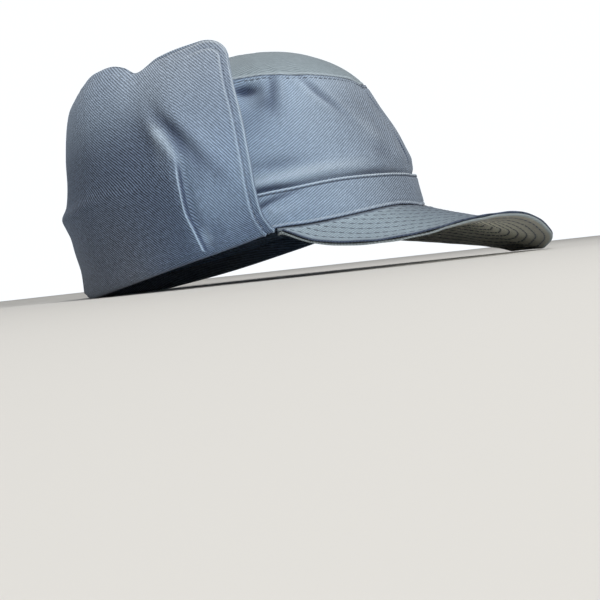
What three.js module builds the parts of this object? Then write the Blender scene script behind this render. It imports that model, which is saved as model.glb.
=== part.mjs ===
// Peaked cloth cap with one wide ear and neck flap folded up round its sides and back.
// Millimetres, z up, the peak towards -y. It stands as it would on a table, on the back of its
// rim and the front of its peak.
import * as THREE from "three";

// Cloth and the play between one layer and the next
const CLOTH = 1.5;
const FLAP_CLOTH = 1.6;
const FACING_CLOTH = 1.4;
const PEAK_CLOTH = 1.2;
const PLAY = 0.3;
const PEAK_PLAY = 0.4;

// How the cap stands: the rim's front is raised, and the back of the rim is bedded flat
const REST_TILT = THREE.MathUtils.degToRad(9.5);
const TABLE_LEVEL = { y: 88, rise: -3 };

// Plan of the head opening: squarer than an ellipse, whose power is 2
const PLAN_POWER = 2.2;
const RIM = { front: 100.4, rear: 97.0, side: 80.8 };

// Height of the rim's lower edge, by the turn from the centre front in degrees: it arches a
// little over the ears
const RIM_LINE = [
  { turn: 0, rise: -4.5 },
  { turn: 12, rise: -3.0 },
  { turn: 23, rise: -2.0 },
  { turn: 46, rise: -2.0 },
  { turn: 58, rise: -1.2 },
  { turn: 70, rise: 1.0 },
  { turn: 81, rise: -0.4 },
  { turn: 92, rise: -1.7 },
  { turn: 114, rise: -3.4 },
  { turn: 136, rise: -3.8 },
  { turn: 180, rise: -5.0 },
];

// Outer face of the crown's side wall, from its hidden lower edge (part 0) to the top seam
const CROWN_LOWER_EDGE = 12.5;
const CROWN_SECTIONS = [
  { part: 0.0, front: 100.4, rear: 97.0, side: 80.8 },
  { part: 0.19, front: 100.4, rear: 97.0, side: 80.8 },
  { part: 0.28, front: 101.5, rear: 97.3, side: 82.2 },
  { part: 0.45, front: 99.6, rear: 96.0, side: 82.6 },
  { part: 0.68, front: 94.7, rear: 92.0, side: 80.6 },
  { part: 0.88, front: 90.3, rear: 87.0, side: 76.6 },
  { part: 1.0, front: 87.4, rear: 83.5, side: 73.0 },
];

// Height of the top seam, by the turn from the centre front in degrees
const TOP_SEAM = [
  { turn: 0, rise: 73.6 },
  { turn: 15, rise: 76.2 },
  { turn: 30, rise: 79.0 },
  { turn: 45, rise: 82.0 },
  { turn: 60, rise: 86.0 },
  { turn: 80, rise: 88.0 },
  { turn: 120, rise: 90.0 },
  { turn: 180, rise: 92.0 },
];

// Dents (inward) and soft folds (outward) of the crown's sides. Turns are in degrees from the
// centre front, positive on the wearer's right, and the halves are where a fold dies away.
const CROWN_FOLDS = [
  { turn: 65, rise: 77, halfTurn: 6, halfRise: 8, outward: -3.0 },
  { turn: 56, rise: 74, halfTurn: 4, halfRise: 12, outward: 1.6 },
  { turn: 48, rise: 74, halfTurn: 4, halfRise: 9, outward: -1.4 },
  { turn: 40, rise: 76, halfTurn: 5, halfRise: 7, outward: 1.0 },
  { turn: 34, rise: 62, halfTurn: 5, halfRise: 9, outward: 1.2 },
  { turn: 68, rise: 30, halfTurn: 7, halfRise: 8, outward: -1.2 },
  { turn: -58, rise: 70, halfTurn: 6, halfRise: 10, outward: -2.0 },
  { turn: -40, rise: 60, halfTurn: 7, halfRise: 12, outward: 1.2 },
];

// Domed top panel
const DOME = { forward: 9, rise: 106.2, power: 3.42 };

// Height of the band's folded upper edge, by the turn from the centre front in degrees
const BAND_LOWER_EDGE = 2.2;
const BAND_UPPER_EDGE = [
  { turn: 0, rise: 16.5 },
  { turn: 15, rise: 17.5 },
  { turn: 30, rise: 19.0 },
  { turn: 45, rise: 20.9 },
  { turn: 60, rise: 21.9 },
  { turn: 75, rise: 23.3 },
  { turn: 180, rise: 24.0 },
];

// Outer face of the folded-up flap, from its bottom fold (part 0) to its top edge
const FLAP_SECTIONS = [
  { part: 0.02, front: 106.8, rear: 104.4, side: 86.9 },
  { part: 0.14, front: 106.5, rear: 102.6, side: 86.7 },
  { part: 0.24, front: 106.6, rear: 103.5, side: 87.2 },
  { part: 0.31, front: 106.5, rear: 103.6, side: 87.6 },
  { part: 0.36, front: 106.4, rear: 105.0, side: 88.0 },
  { part: 0.41, front: 106.2, rear: 105.6, side: 88.2 },
  { part: 0.46, front: 105.8, rear: 100.3, side: 88.0 },
  { part: 0.54, front: 105.0, rear: 96.6, side: 87.0 },
  { part: 0.7, front: 102.4, rear: 92.9, side: 84.2 },
  { part: 0.9, front: 98.4, rear: 83.9, side: 79.5 },
  { part: 1.0, front: 96.0, rear: 72.0, side: 76.5 },
];

// Height of the flap's top edge, by the turn from the centre front in degrees
const FLAP_TOP = [
  { turn: 65, rise: 113.4 },
  { turn: 78, rise: 111.0 },
  { turn: 90, rise: 109.0 },
  { turn: 101, rise: 106.1 },
  { turn: 106, rise: 111.2 },
  { turn: 113, rise: 114.8 },
  { turn: 124, rise: 115.7 },
  { turn: 140, rise: 114.4 },
  { turn: 160, rise: 116.0 },
  { turn: 180, rise: 116.0 },
];

// Pleat, bulge and dents of the flap, in the same columns as the crown's folds
const FLAP_FOLDS = [
  { turn: 94, rise: 24, halfTurn: 4.5, halfRise: 30, outward: 2.4 },
  { turn: 87, rise: 20, halfTurn: 5, halfRise: 24, outward: -0.8 },
  { turn: 94.5, rise: 64, halfTurn: 5, halfRise: 13, outward: 2.4 },
  { turn: 87.5, rise: 69, halfTurn: 5, halfRise: 15, outward: -2.2 },
  { turn: 118, rise: 60, halfTurn: 12, halfRise: 26, outward: 1.2 },
  { turn: -98, rise: 34, halfTurn: 6, halfRise: 26, outward: 2.0 },
  { turn: -90, rise: 70, halfTurn: 8, halfRise: 18, outward: -1.6 },
  { turn: -128, rise: 50, halfTurn: 12, halfRise: 24, outward: 1.4 },
];

// How far forward of the middle the flap's front edge stands, from bottom (part 0) to top
const FLAP_FRONT_EDGE = [
  { part: 0.0, forward: 40.2 },
  { part: 0.06, forward: 37.6 },
  { part: 0.12, forward: 35.8 },
  { part: 0.27, forward: 36.2 },
  { part: 0.4, forward: 37.7 },
  { part: 0.54, forward: 38.4 },
  { part: 0.68, forward: 38.4 },
  { part: 0.82, forward: 37.6 },
  { part: 1.0, forward: 37.6 },
];
const FLAP_CORNER_RADIUS = 12;

// Outer edge of the peak's underside in plan, and its height by the turn in degrees. Positive
// turns are on the wearer's right. The left corner droops until the table flattens it.
const PEAK_PLAN = { middle: 60, forward: 108, side: 85, endTurn: 99 };
const PEAK_EDGE = [
  { turn: -100, rise: 0 },
  { turn: -90, rise: -12 },
  { turn: -70, rise: -25 },
  { turn: -50, rise: -37.2 },
  { turn: -41, rise: -42.6 },
  { turn: -30, rise: -44.6 },
  { turn: -20, rise: -42.8 },
  { turn: 0, rise: -36.7 },
  { turn: 10, rise: -30.5 },
  { turn: 20, rise: -25.3 },
  { turn: 30, rise: -22.6 },
  { turn: 45, rise: -21.3 },
  { turn: 60, rise: -22.1 },
  { turn: 75, rise: -19.6 },
  { turn: 90, rise: -11.5 },
  { turn: 100, rise: 0.7 },
];
const PEAK_ROOT_TURN = 69.3;
const PEAK_INNER_TURN_RISE = 9;
// How far the peak sags between its root and its edge, deepest at two thirds of its reach
const PEAK_SAG = [
  { turn: -100, sag: 0.0 },
  { turn: -45, sag: 1.0 },
  { turn: 0, sag: 2.5 },
  { turn: 20, sag: 4.2 },
  { turn: 40, sag: 4.4 },
  { turn: 60, sag: 2.6 },
  { turn: 80, sag: 0.8 },
  { turn: 100, sag: 0.0 },
];
const SAG_PEAK = 6.75;

// Numbers of facets
const ROUND_COLUMNS = 60;
const CROWN_PARTS = [0, 0.19, 0.28, 0.38, 0.5, 0.65, 0.8, 0.9, 1];
const DOME_ROWS = 6;
const BAND_ROWS = 2;
const FLAP_COLUMNS = 44;
const FLAP_ROWS = 12;
const PEAK_COLUMNS = 30;
const PEAK_ROWS = 6;

// Colours
const TWILL = "#6f7f92";
const TWILL_LIGHT = "#8a98a8";
const TOP_CLOTH = "#8b979c";
const UNDERSIDE = "#55534b";

// A column of a table at a given key, as a smooth curve through its rows
function smooth(rows, key, at, column) {
  const last = rows.length - 1;
  if (at <= rows[0][key]) {
    return rows[0][column];
  }
  if (at >= rows[last][key]) {
    return rows[last][column];
  }
  let i = 0;
  while (rows[i + 1][key] < at) {
    i += 1;
  }
  const slope = (a, b) => (rows[b][column] - rows[a][column]) / (rows[b][key] - rows[a][key]);
  const span = rows[i + 1][key] - rows[i][key];
  const startSlope = slope(Math.max(i - 1, 0), i + 1) * span;
  const endSlope = slope(i, Math.min(i + 2, last)) * span;
  const t = (at - rows[i][key]) / span;
  const start = rows[i][column];
  const end = rows[i + 1][column];
  const rise = end - start;
  return (
    start +
    startSlope * t +
    (3 * rise - 2 * startSlope - endSlope) * t ** 2 +
    (startSlope + endSlope - 2 * rise) * t ** 3
  );
}

// A row of section sizes read off a table of sections
function sectionAt(rows, part) {
  return {
    front: smooth(rows, "part", part, "front"),
    rear: smooth(rows, "part", part, "rear"),
    side: smooth(rows, "part", part, "side"),
  };
}

// A point of a level section, grown outwards by an offset. Angles run from the centre front,
// positive towards the wearer's right.
function sectionPoint(section, angle, height, offset) {
  const across = Math.sin(angle);
  const along = Math.cos(angle);
  const reach = (along > 0 ? section.front : section.rear) + offset;
  const side = section.side + offset;
  const root = 2 / PLAN_POWER;
  return new THREE.Vector3(
    -side * Math.sign(across) * Math.abs(across) ** root,
    -reach * Math.sign(along) * Math.abs(along) ** root,
    height,
  );
}

// The turn in degrees from the centre front, whichever side the angle is on
function turnOf(angle) {
  const turn = Math.abs(THREE.MathUtils.radToDeg(angle)) % 360;
  return turn > 180 ? 360 - turn : turn;
}

// How far folds and dents push a wall out at an angle and a height
function foldsOut(rows, angle, height) {
  const turn = THREE.MathUtils.radToDeg(angle);
  return rows.reduce((total, row) => {
    const apart = THREE.MathUtils.euclideanModulo(turn - row.turn + 180, 360) - 180;
    const across = apart / row.halfTurn;
    const along = (height - row.rise) / row.halfRise;
    return total + row.outward * Math.exp(-(across ** 2) - along ** 2);
  }, 0);
}

// Height of the table under the cap, in the rim's own frame
function tableHeight(y) {
  return TABLE_LEVEL.rise + (y - TABLE_LEVEL.y) * Math.tan(REST_TILT);
}

// Height of the rim's lower edge at a point of its plan: never below the table
function rimRise(angle, y) {
  return Math.max(smooth(RIM_LINE, "turn", turnOf(angle), "rise"), tableHeight(y));
}

// Outward normal of a surface given as a function of two numbers between their limits
function normalAt(surface, u, v, limits) {
  const step = 0.004;
  const fit = (value, low, high) => Math.min(Math.max(value, low), high);
  const uLow = fit(u - step, limits.uLow, limits.uHigh);
  const uHigh = fit(u + step, limits.uLow, limits.uHigh);
  const vLow = fit(v - step, limits.vLow, limits.vHigh);
  const vHigh = fit(v + step, limits.vLow, limits.vHigh);
  const alongU = surface(uHigh, v).sub(surface(uLow, v));
  const alongV = surface(u, vHigh).sub(surface(u, vLow));
  return alongU.cross(alongV).normalize();
}

// One closed solid between two grids of points of the same size, rows of columns.
// A closed grid joins its last column to its first.
function solidBetween(faceGrid, backGrid, closed) {
  const positions = [];
  const addTriangle = (a, b, c) => {
    const flat = a.distanceTo(b) < 1e-6 || b.distanceTo(c) < 1e-6 || c.distanceTo(a) < 1e-6;
    if (!flat) {
      positions.push(...a.toArray(), ...b.toArray(), ...c.toArray());
    }
  };
  const addQuad = (a, b, c, d) => {
    addTriangle(a, b, c);
    addTriangle(a, c, d);
  };
  const rows = faceGrid.length;
  const columns = faceGrid[0].length;
  const lastColumn = closed ? columns : columns - 1;
  for (let row = 0; row < rows - 1; row += 1) {
    for (let column = 0; column < lastColumn; column += 1) {
      const next = (column + 1) % columns;
      const face = [faceGrid[row][column], faceGrid[row][next]];
      face.push(faceGrid[row + 1][next], faceGrid[row + 1][column]);
      const back = [backGrid[row][column], backGrid[row + 1][column]];
      back.push(backGrid[row + 1][next], backGrid[row][next]);
      addQuad(...face);
      addQuad(...back);
    }
  }
  for (let column = 0; column < lastColumn; column += 1) {
    const next = (column + 1) % columns;
    const top = rows - 1;
    addQuad(backGrid[0][column], backGrid[0][next], faceGrid[0][next], faceGrid[0][column]);
    addQuad(faceGrid[top][column], faceGrid[top][next], backGrid[top][next], backGrid[top][column]);
  }
  if (!closed) {
    const end = columns - 1;
    for (let row = 0; row < rows - 1; row += 1) {
      addQuad(faceGrid[row][0], faceGrid[row + 1][0], backGrid[row + 1][0], backGrid[row][0]);
      addQuad(backGrid[row][end], backGrid[row + 1][end], faceGrid[row + 1][end], faceGrid[row][end]);
    }
  }
  return facingOut(positions);
}

// A geometry of loose triangles, turned over if it encloses its volume inside out
function facingOut(positions) {
  let volume = 0;
  const a = new THREE.Vector3();
  const b = new THREE.Vector3();
  const c = new THREE.Vector3();
  for (let i = 0; i < positions.length; i += 9) {
    a.fromArray(positions, i);
    b.fromArray(positions, i + 3);
    c.fromArray(positions, i + 6);
    volume += a.dot(b.cross(c));
  }
  if (volume < 0) {
    for (let i = 0; i < positions.length; i += 9) {
      for (let k = 0; k < 3; k += 1) {
        [positions[i + 3 + k], positions[i + 6 + k]] = [positions[i + 6 + k], positions[i + 3 + k]];
      }
    }
  }
  const geometry = new THREE.BufferGeometry();
  geometry.setAttribute("position", new THREE.Float32BufferAttribute(positions, 3));
  geometry.computeVertexNormals();
  return geometry;
}

// Evenly spaced numbers from one limit to the other
function spread(from, to, steps) {
  return Array.from({ length: steps + 1 }, (unused, i) => from + ((to - from) * i) / steps);
}

// The same, closer together near both limits
function spreadToEnds(from, to, steps) {
  return spread(0, 1, steps).map((t) => {
    const eased = t - 0.11 * Math.sin(2 * Math.PI * t);
    return from + (to - from) * eased;
  });
}

const group = new THREE.Group();

function addPiece(name, geometry, colour) {
  const material = new THREE.MeshStandardMaterial({ color: colour, roughness: 0.9, metalness: 0 });
  const mesh = new THREE.Mesh(geometry, material);
  mesh.name = name;
  group.add(mesh);
}

// Crown side walls, seamed at the centre front and the centre back

function seamRise(angle) {
  return smooth(TOP_SEAM, "turn", turnOf(angle), "rise");
}

function crownPoint(angle, part, offset) {
  const section = sectionAt(CROWN_SECTIONS, part);
  const plan = sectionPoint(section, angle, 0, offset);
  const lower = CROWN_LOWER_EDGE + rimRise(angle, plan.y);
  const height = THREE.MathUtils.lerp(lower, seamRise(angle), part);
  return sectionPoint(section, angle, height, offset + foldsOut(CROWN_FOLDS, angle, height));
}

function crownSide(from, to) {
  const angles = spread(from, to, ROUND_COLUMNS / 2);
  const wall = (offset) =>
    CROWN_PARTS.map((part) => angles.map((angle) => crownPoint(angle, part, offset)));
  return solidBetween(wall(0), wall(-CLOTH), false);
}

const SEAM_HALF_PLAY = PLAY / 2 / RIM.front;
addPiece("crown_side_right", crownSide(SEAM_HALF_PLAY, Math.PI - SEAM_HALF_PLAY), TWILL_LIGHT);
addPiece("crown_side_left", crownSide(-SEAM_HALF_PLAY, SEAM_HALF_PLAY - Math.PI), TWILL_LIGHT);

// Domed top panel, its edge lying on the side walls' upper edge

function domePoint(angle, reach, lift) {
  const edge = crownPoint(angle, 1, 0);
  const middle = new THREE.Vector3(0, -DOME.forward, DOME.rise);
  const point = middle.clone().lerp(edge, reach);
  point.z = edge.z + (DOME.rise - edge.z) * (1 - reach ** DOME.power) + lift;
  return point;
}

function domeGrid(lift) {
  const angles = spread(-Math.PI, Math.PI, ROUND_COLUMNS).slice(0, ROUND_COLUMNS);
  const reaches = spread(0, 1, DOME_ROWS).map((t) => t ** 0.8);
  return reaches.map((reach) => angles.map((angle) => domePoint(angle, reach, lift)));
}

addPiece("crown_top", solidBetween(domeGrid(PLAY + CLOTH), domeGrid(PLAY), true), TOP_CLOTH);

// Head band

function bandGrid(offset) {
  const angles = spread(-Math.PI, Math.PI, ROUND_COLUMNS).slice(0, ROUND_COLUMNS);
  return spread(0, 1, BAND_ROWS).map((part) =>
    angles.map((angle) => {
      const plan = sectionPoint(RIM, angle, 0, offset);
      const lower = BAND_LOWER_EDGE + rimRise(angle, plan.y);
      const upper = smooth(BAND_UPPER_EDGE, "turn", turnOf(angle), "rise");
      plan.z = THREE.MathUtils.lerp(lower, upper, part);
      return plan;
    }),
  );
}

const BAND_OUTSIDE = PLAY + CLOTH;
addPiece("head_band", solidBetween(bandGrid(BAND_OUTSIDE), bandGrid(PLAY), true), TWILL_LIGHT);

// Ear flap: up from the rim's fold, the cloth seen outside and a facing behind it

function flapEdgeAngle(part) {
  const forward = smooth(FLAP_FRONT_EDGE, "part", part, "forward");
  const front = smooth(FLAP_SECTIONS, "part", part, "front");
  return Math.acos((forward / front) ** (PLAN_POWER / 2));
}

// Across runs from -1 at the left front edge through 0 at the centre back to 1 at the right
function flapAngle(across, part) {
  const sweep = Math.PI - flapEdgeAngle(part);
  return Math.PI - across * sweep;
}

function flapRise(across) {
  const angle = flapAngle(across, 1);
  const level = smooth(FLAP_TOP, "turn", turnOf(angle), "rise");
  const sweepLength = (Math.PI - flapEdgeAngle(1)) * RIM.side;
  const fromEdge = (1 - Math.abs(across)) * sweepLength;
  const inCorner = Math.max(0, FLAP_CORNER_RADIUS - fromEdge);
  return level - FLAP_CORNER_RADIUS + Math.sqrt(FLAP_CORNER_RADIUS ** 2 - inCorner ** 2);
}

// A point of the flap's upright part, set in from its outer face
function flapPoint(across, part, inset) {
  const angle = flapAngle(across, part);
  const section = sectionAt(FLAP_SECTIONS, part);
  const plan = sectionPoint(section, angle, 0, 0);
  const height = THREE.MathUtils.lerp(rimRise(angle, plan.y), flapRise(across), part);
  return sectionPoint(section, angle, height, foldsOut(FLAP_FOLDS, angle, height) - inset);
}

// The fold round the rim: offset from the rim's plan and height, on its exposed and hidden face
const FOLD_ROWS = [
  { exposed: -1.8, exposedRise: 9.5, hidden: -0.2, hiddenRise: 9.5 },
  { exposed: -1.8, exposedRise: 2.2, hidden: -0.2, hiddenRise: 2.6 },
  { exposed: -0.6, exposedRise: 0, hidden: 0.4, hiddenRise: FLAP_CLOTH },
  { exposed: 4.2, exposedRise: 0, hidden: 3.4, hiddenRise: FLAP_CLOTH },
];

function foldPoint(across, offset, rise) {
  const angle = flapAngle(across, 0);
  const point = sectionPoint(RIM, angle, 0, offset);
  point.z = rise + rimRise(angle, point.y);
  return point;
}

const flapAcross = spreadToEnds(-1, 1, FLAP_COLUMNS);
const flapParts = spread(0.03, 1, FLAP_ROWS);
const foldFace = FOLD_ROWS.map((row) =>
  flapAcross.map((across) => foldPoint(across, row.exposed, row.exposedRise)),
);
const foldBack = FOLD_ROWS.map((row) =>
  flapAcross.map((across) => foldPoint(across, row.hidden, row.hiddenRise)),
);

function flapWall(parts, inset) {
  return parts.map((part) => flapAcross.map((across) => flapPoint(across, part, inset)));
}

const flapFace = [...foldFace, ...flapWall(flapParts, 0)];
const flapBack = [...foldBack, ...flapWall(flapParts, FLAP_CLOTH)];
addPiece("ear_flap", solidBetween(flapFace, flapBack, false), TWILL);

const facingParts = [0.05, ...flapParts.slice(1)];
const facingInset = FLAP_CLOTH + PLAY + 0.1;
const facingFace = flapWall(facingParts, facingInset);
const facingBack = flapWall(facingParts, facingInset + FACING_CLOTH);
addPiece("ear_flap_facing", solidBetween(facingFace, facingBack, false), TWILL);

// Peak: two layers joined round their outer edge, turned up inside the band at the root

function peakEdgePoint(across) {
  const turn = across * PEAK_PLAN.endTurn;
  const angle = THREE.MathUtils.degToRad(turn);
  const x = -PEAK_PLAN.side * Math.sin(angle);
  const y = -(PEAK_PLAN.middle + PEAK_PLAN.forward * Math.cos(angle));
  return new THREE.Vector3(x, y, Math.max(smooth(PEAK_EDGE, "turn", turn, "rise"), tableHeight(y)));
}

function peakRootPoint(across, offset, rise) {
  const angle = THREE.MathUtils.degToRad(across * PEAK_ROOT_TURN);
  const point = sectionPoint(RIM, angle, 0, offset);
  point.z = rise + rimRise(angle, point.y);
  return point;
}

// Underside of the peak, from the root (reach 0) to the outer edge
function peakPoint(across, reach) {
  const root = peakRootPoint(across, BAND_OUTSIDE, -(PEAK_CLOTH + PEAK_PLAY));
  const point = root.lerp(peakEdgePoint(across), reach);
  const sag = smooth(PEAK_SAG, "turn", across * PEAK_PLAN.endTurn, "sag");
  point.z -= sag * SAG_PEAK * reach ** 2 * (1 - reach);
  return point;
}

const PEAK_LIMITS = { uLow: -1, uHigh: 1, vLow: 0, vHigh: 1 };

function peakRaised(across, reach, height) {
  const normal = normalAt(peakPoint, across, reach, PEAK_LIMITS);
  return peakPoint(across, reach).addScaledVector(normal, normal.z > 0 ? height : -height);
}

const peakAcross = spreadToEnds(-1, 1, PEAK_COLUMNS);
const peakReaches = spread(0, 1, PEAK_ROWS).slice(1);

function peakGrid(height) {
  return peakReaches.map((reach) => peakAcross.map((across) => peakRaised(across, reach, height)));
}

function peakRootRow(offset, rise) {
  return peakAcross.map((across) => peakRootPoint(across, offset, rise));
}

const upperBottom = PEAK_CLOTH + PEAK_PLAY;
const upperTop = upperBottom + PEAK_CLOTH;
const rootTop = BAND_LOWER_EDGE - PLAY;
addPiece(
  "visor_top",
  solidBetween(
    [
      peakRootRow(0, PEAK_INNER_TURN_RISE),
      peakRootRow(0, rootTop),
      peakRootRow(BAND_OUTSIDE + 0.6, rootTop - 0.2),
      ...peakGrid(upperTop),
    ],
    [
      peakRootRow(-PEAK_CLOTH, PEAK_INNER_TURN_RISE),
      peakRootRow(-PEAK_CLOTH, rootTop - PEAK_CLOTH),
      peakRootRow(BAND_OUTSIDE, rootTop - PEAK_CLOTH),
      ...peakGrid(upperBottom),
    ],
    false,
  ),
  TWILL_LIGHT,
);
const underTop = rootTop - PEAK_CLOTH - PEAK_PLAY;
addPiece(
  "visor_under",
  solidBetween(
    [peakRootRow(-PEAK_CLOTH, underTop), peakRootRow(BAND_OUTSIDE, underTop), ...peakGrid(PEAK_CLOTH)],
    [
      peakRootRow(-PEAK_CLOTH, underTop - PEAK_CLOTH),
      peakRootRow(BAND_OUTSIDE, underTop - PEAK_CLOTH),
      ...peakGrid(0),
    ],
    false,
  ),
  UNDERSIDE,
);

// Stand the cap on its rim and peak, centred over its own bounds
group.rotation.x = -REST_TILT;
group.updateMatrixWorld(true);
const bounds = new THREE.Box3().setFromObject(group, true);
const middle = bounds.getCenter(new THREE.Vector3());
group.position.set(-middle.x, -middle.y, -bounds.min.z);
group.updateMatrixWorld(true);

export default group;
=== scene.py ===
import math

import bpy
import numpy as np
from mathutils import Matrix, Vector


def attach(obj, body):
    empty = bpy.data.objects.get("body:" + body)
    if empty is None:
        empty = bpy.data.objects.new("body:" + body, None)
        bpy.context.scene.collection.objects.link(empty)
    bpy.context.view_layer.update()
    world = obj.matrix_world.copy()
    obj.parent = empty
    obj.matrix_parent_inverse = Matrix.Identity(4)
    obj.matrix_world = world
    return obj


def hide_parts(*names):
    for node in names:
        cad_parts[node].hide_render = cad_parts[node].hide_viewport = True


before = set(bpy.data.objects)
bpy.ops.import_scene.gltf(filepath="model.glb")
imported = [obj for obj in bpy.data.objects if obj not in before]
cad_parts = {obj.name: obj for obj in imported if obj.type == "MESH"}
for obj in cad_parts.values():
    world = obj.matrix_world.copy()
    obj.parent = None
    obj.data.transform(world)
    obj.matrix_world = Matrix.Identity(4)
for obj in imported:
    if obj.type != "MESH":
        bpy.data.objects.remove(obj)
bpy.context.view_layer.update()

bl_info = {
    "name": "Earflap cap",
    "version": (1, 0, 0),
    "blender": (4, 5, 0),
    "location": "View3D > Sidebar > Cap",
    "description": "Sews the cloth of a peaked cap with a folded-up ear flap over its solids",
    "category": "Object",
}

MM = 0.001

# How the cap stands: its front is raised by the tilt, and this is the middle of its rim
STAND_TILT = math.radians(9.5)
STAND_PLACE = np.array([0.22, 30.86, 17.48])
TABLE_LEVEL = {"y": 88.0, "rise": -3.0}

# Plan of the head opening, and the height of its lower edge by the turn from the centre front
PLAN_POWER = 2.2
RIM = {"front": 100.4, "rear": 97.0, "side": 80.8}
RIM_LINE = [
    {"turn": 0, "rise": -4.5},
    {"turn": 12, "rise": -3.0},
    {"turn": 23, "rise": -2.0},
    {"turn": 46, "rise": -2.0},
    {"turn": 58, "rise": -1.2},
    {"turn": 70, "rise": 1.0},
    {"turn": 81, "rise": -0.4},
    {"turn": 92, "rise": -1.7},
    {"turn": 114, "rise": -3.4},
    {"turn": 136, "rise": -3.8},
    {"turn": 180, "rise": -5.0},
]

# Crown: side wall sections, top seam and the dome of the top panel. A program's fit to the
# photo's outline set the dome, the seam's rises up to a turn of 80 and the sections' front
# reach from 0.45 up, and three rises and three reaches were then changed.
CROWN_LOWER_EDGE = 12.5
CROWN_SECTIONS = [
    {"part": 0.0, "front": 100.4, "rear": 97.0, "side": 80.8},
    {"part": 0.19, "front": 100.4, "rear": 97.0, "side": 80.8},
    {"part": 0.28, "front": 101.5, "rear": 97.3, "side": 82.2},
    {"part": 0.45, "front": 99.6, "rear": 96.0, "side": 82.6},
    {"part": 0.68, "front": 94.7, "rear": 92.0, "side": 80.6},
    {"part": 0.88, "front": 90.3, "rear": 87.0, "side": 76.6},
    {"part": 1.0, "front": 87.4, "rear": 83.5, "side": 73.0},
]
TOP_SEAM = [
    {"turn": 0, "rise": 73.6},
    {"turn": 15, "rise": 76.2},
    {"turn": 30, "rise": 79.0},
    {"turn": 45, "rise": 82.0},
    {"turn": 60, "rise": 86.0},
    {"turn": 80, "rise": 88.0},
    {"turn": 120, "rise": 90.0},
    {"turn": 180, "rise": 92.0},
]
DOME = {"forward": 9.0, "rise": 106.2, "power": 3.42}
# Half the gap in which the side walls' seams are sewn, and how deep the top seam's stitches sink
HALF_SEAM = 0.15
STITCH_SINK = 0.25

# Folds push cloth out, dents pull it in. Turns are in degrees, positive on the wearer's right,
# and the halves are where a fold dies away. A lean tips a fold over, in degrees of turn per mm.
CROWN_FOLDS = [
    {"turn": 65, "rise": 77, "half_turn": 6, "half_rise": 8, "lean": 0, "out": -3.0},
    {"turn": 56, "rise": 74, "half_turn": 4, "half_rise": 12, "lean": 0, "out": 1.6},
    {"turn": 48, "rise": 74, "half_turn": 4, "half_rise": 9, "lean": 0, "out": -1.4},
    {"turn": 40, "rise": 76, "half_turn": 5, "half_rise": 7, "lean": 0, "out": 1.0},
    {"turn": 34, "rise": 62, "half_turn": 5, "half_rise": 9, "lean": 0, "out": 1.2},
    {"turn": 68, "rise": 30, "half_turn": 7, "half_rise": 8, "lean": 0, "out": -1.2},
    {"turn": -58, "rise": 70, "half_turn": 6, "half_rise": 10, "lean": 0, "out": -2.0},
    {"turn": -40, "rise": 60, "half_turn": 7, "half_rise": 12, "lean": 0, "out": 1.2},
]
CROWN_CREASES = [
    {"turn": 64.5, "rise": 79.3, "half_turn": 3.8, "half_rise": 3.6, "lean": 0, "out": -2.6},
    {"turn": 63, "rise": 71, "half_turn": 5, "half_rise": 4, "lean": 0, "out": 0.9},
    {"turn": 59.3, "rise": 75, "half_turn": 1.8, "half_rise": 9, "lean": -0.27, "out": 0.7},
    {"turn": 55.6, "rise": 75, "half_turn": 2.1, "half_rise": 11, "lean": -0.22, "out": -1.8},
    {"turn": 52.2, "rise": 76, "half_turn": 2.0, "half_rise": 10, "lean": -0.27, "out": 0.9},
    {"turn": 41.2, "rise": 69, "half_turn": 2.4, "half_rise": 13, "lean": 0.42, "out": 1.1},
    {"turn": 37.0, "rise": 68.5, "half_turn": 2.2, "half_rise": 13, "lean": 0.44, "out": -1.8},
    {"turn": 32.6, "rise": 66, "half_turn": 2.4, "half_rise": 15, "lean": 0.42, "out": 0.6},
    {"turn": 63, "rise": 36, "half_turn": 9, "half_rise": 3.8, "lean": 1.2, "out": -0.9},
    {"turn": 20, "rise": 31, "half_turn": 6, "half_rise": 5, "lean": 0, "out": -1.0},
    {"turn": 22, "rise": 44, "half_turn": 4, "half_rise": 10, "lean": 0.3, "out": 0.7},
    {"turn": 14, "rise": 50, "half_turn": 3, "half_rise": 16, "lean": 0.1, "out": -0.8},
    {"turn": -35, "rise": 68, "half_turn": 2.4, "half_rise": 15, "lean": -0.4, "out": -1.0},
    {"turn": -52, "rise": 76, "half_turn": 1.8, "half_rise": 9, "lean": 0.2, "out": -1.2},
]
# Painted shade in the crown's dents and folds, and below 0 painted highlights on its swellings
CROWN_SHADES = [
    {"turn": 65.3, "rise": 79.4, "half_turn": 4.6, "half_rise": 3.4, "lean": 0.9, "shade": 1.0},
    {"turn": 60.6, "rise": 71, "half_turn": 4.2, "half_rise": 5, "lean": 0, "shade": 0.5},
    {"turn": 54.4, "rise": 78, "half_turn": 2.4, "half_rise": 7.5, "lean": -0.18, "shade": 0.42},
    {"turn": 58, "rise": 67, "half_turn": 4.0, "half_rise": 6, "lean": 0, "shade": 0.32},
    {"turn": 37.3, "rise": 69, "half_turn": 2.3, "half_rise": 12, "lean": 0.44, "shade": 0.34},
    {"turn": 64, "rise": 36, "half_turn": 9, "half_rise": 3.6, "lean": 0.9, "shade": 0.26},
    {"turn": 66, "rise": 62, "half_turn": 6, "half_rise": 8, "lean": 0, "shade": 0.24},
    {"turn": 61, "rise": 84, "half_turn": 2.5, "half_rise": 3, "lean": 0, "shade": -0.4},
    {"turn": 20, "rise": 30, "half_turn": 7, "half_rise": 6, "lean": 0, "shade": 0.25},
    {"turn": -52, "rise": 76, "half_turn": 2.0, "half_rise": 8, "lean": 0.2, "shade": 0.4},
    {"turn": -35, "rise": 66, "half_turn": 2.3, "half_rise": 12, "lean": -0.4, "shade": 0.3},
]
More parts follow.
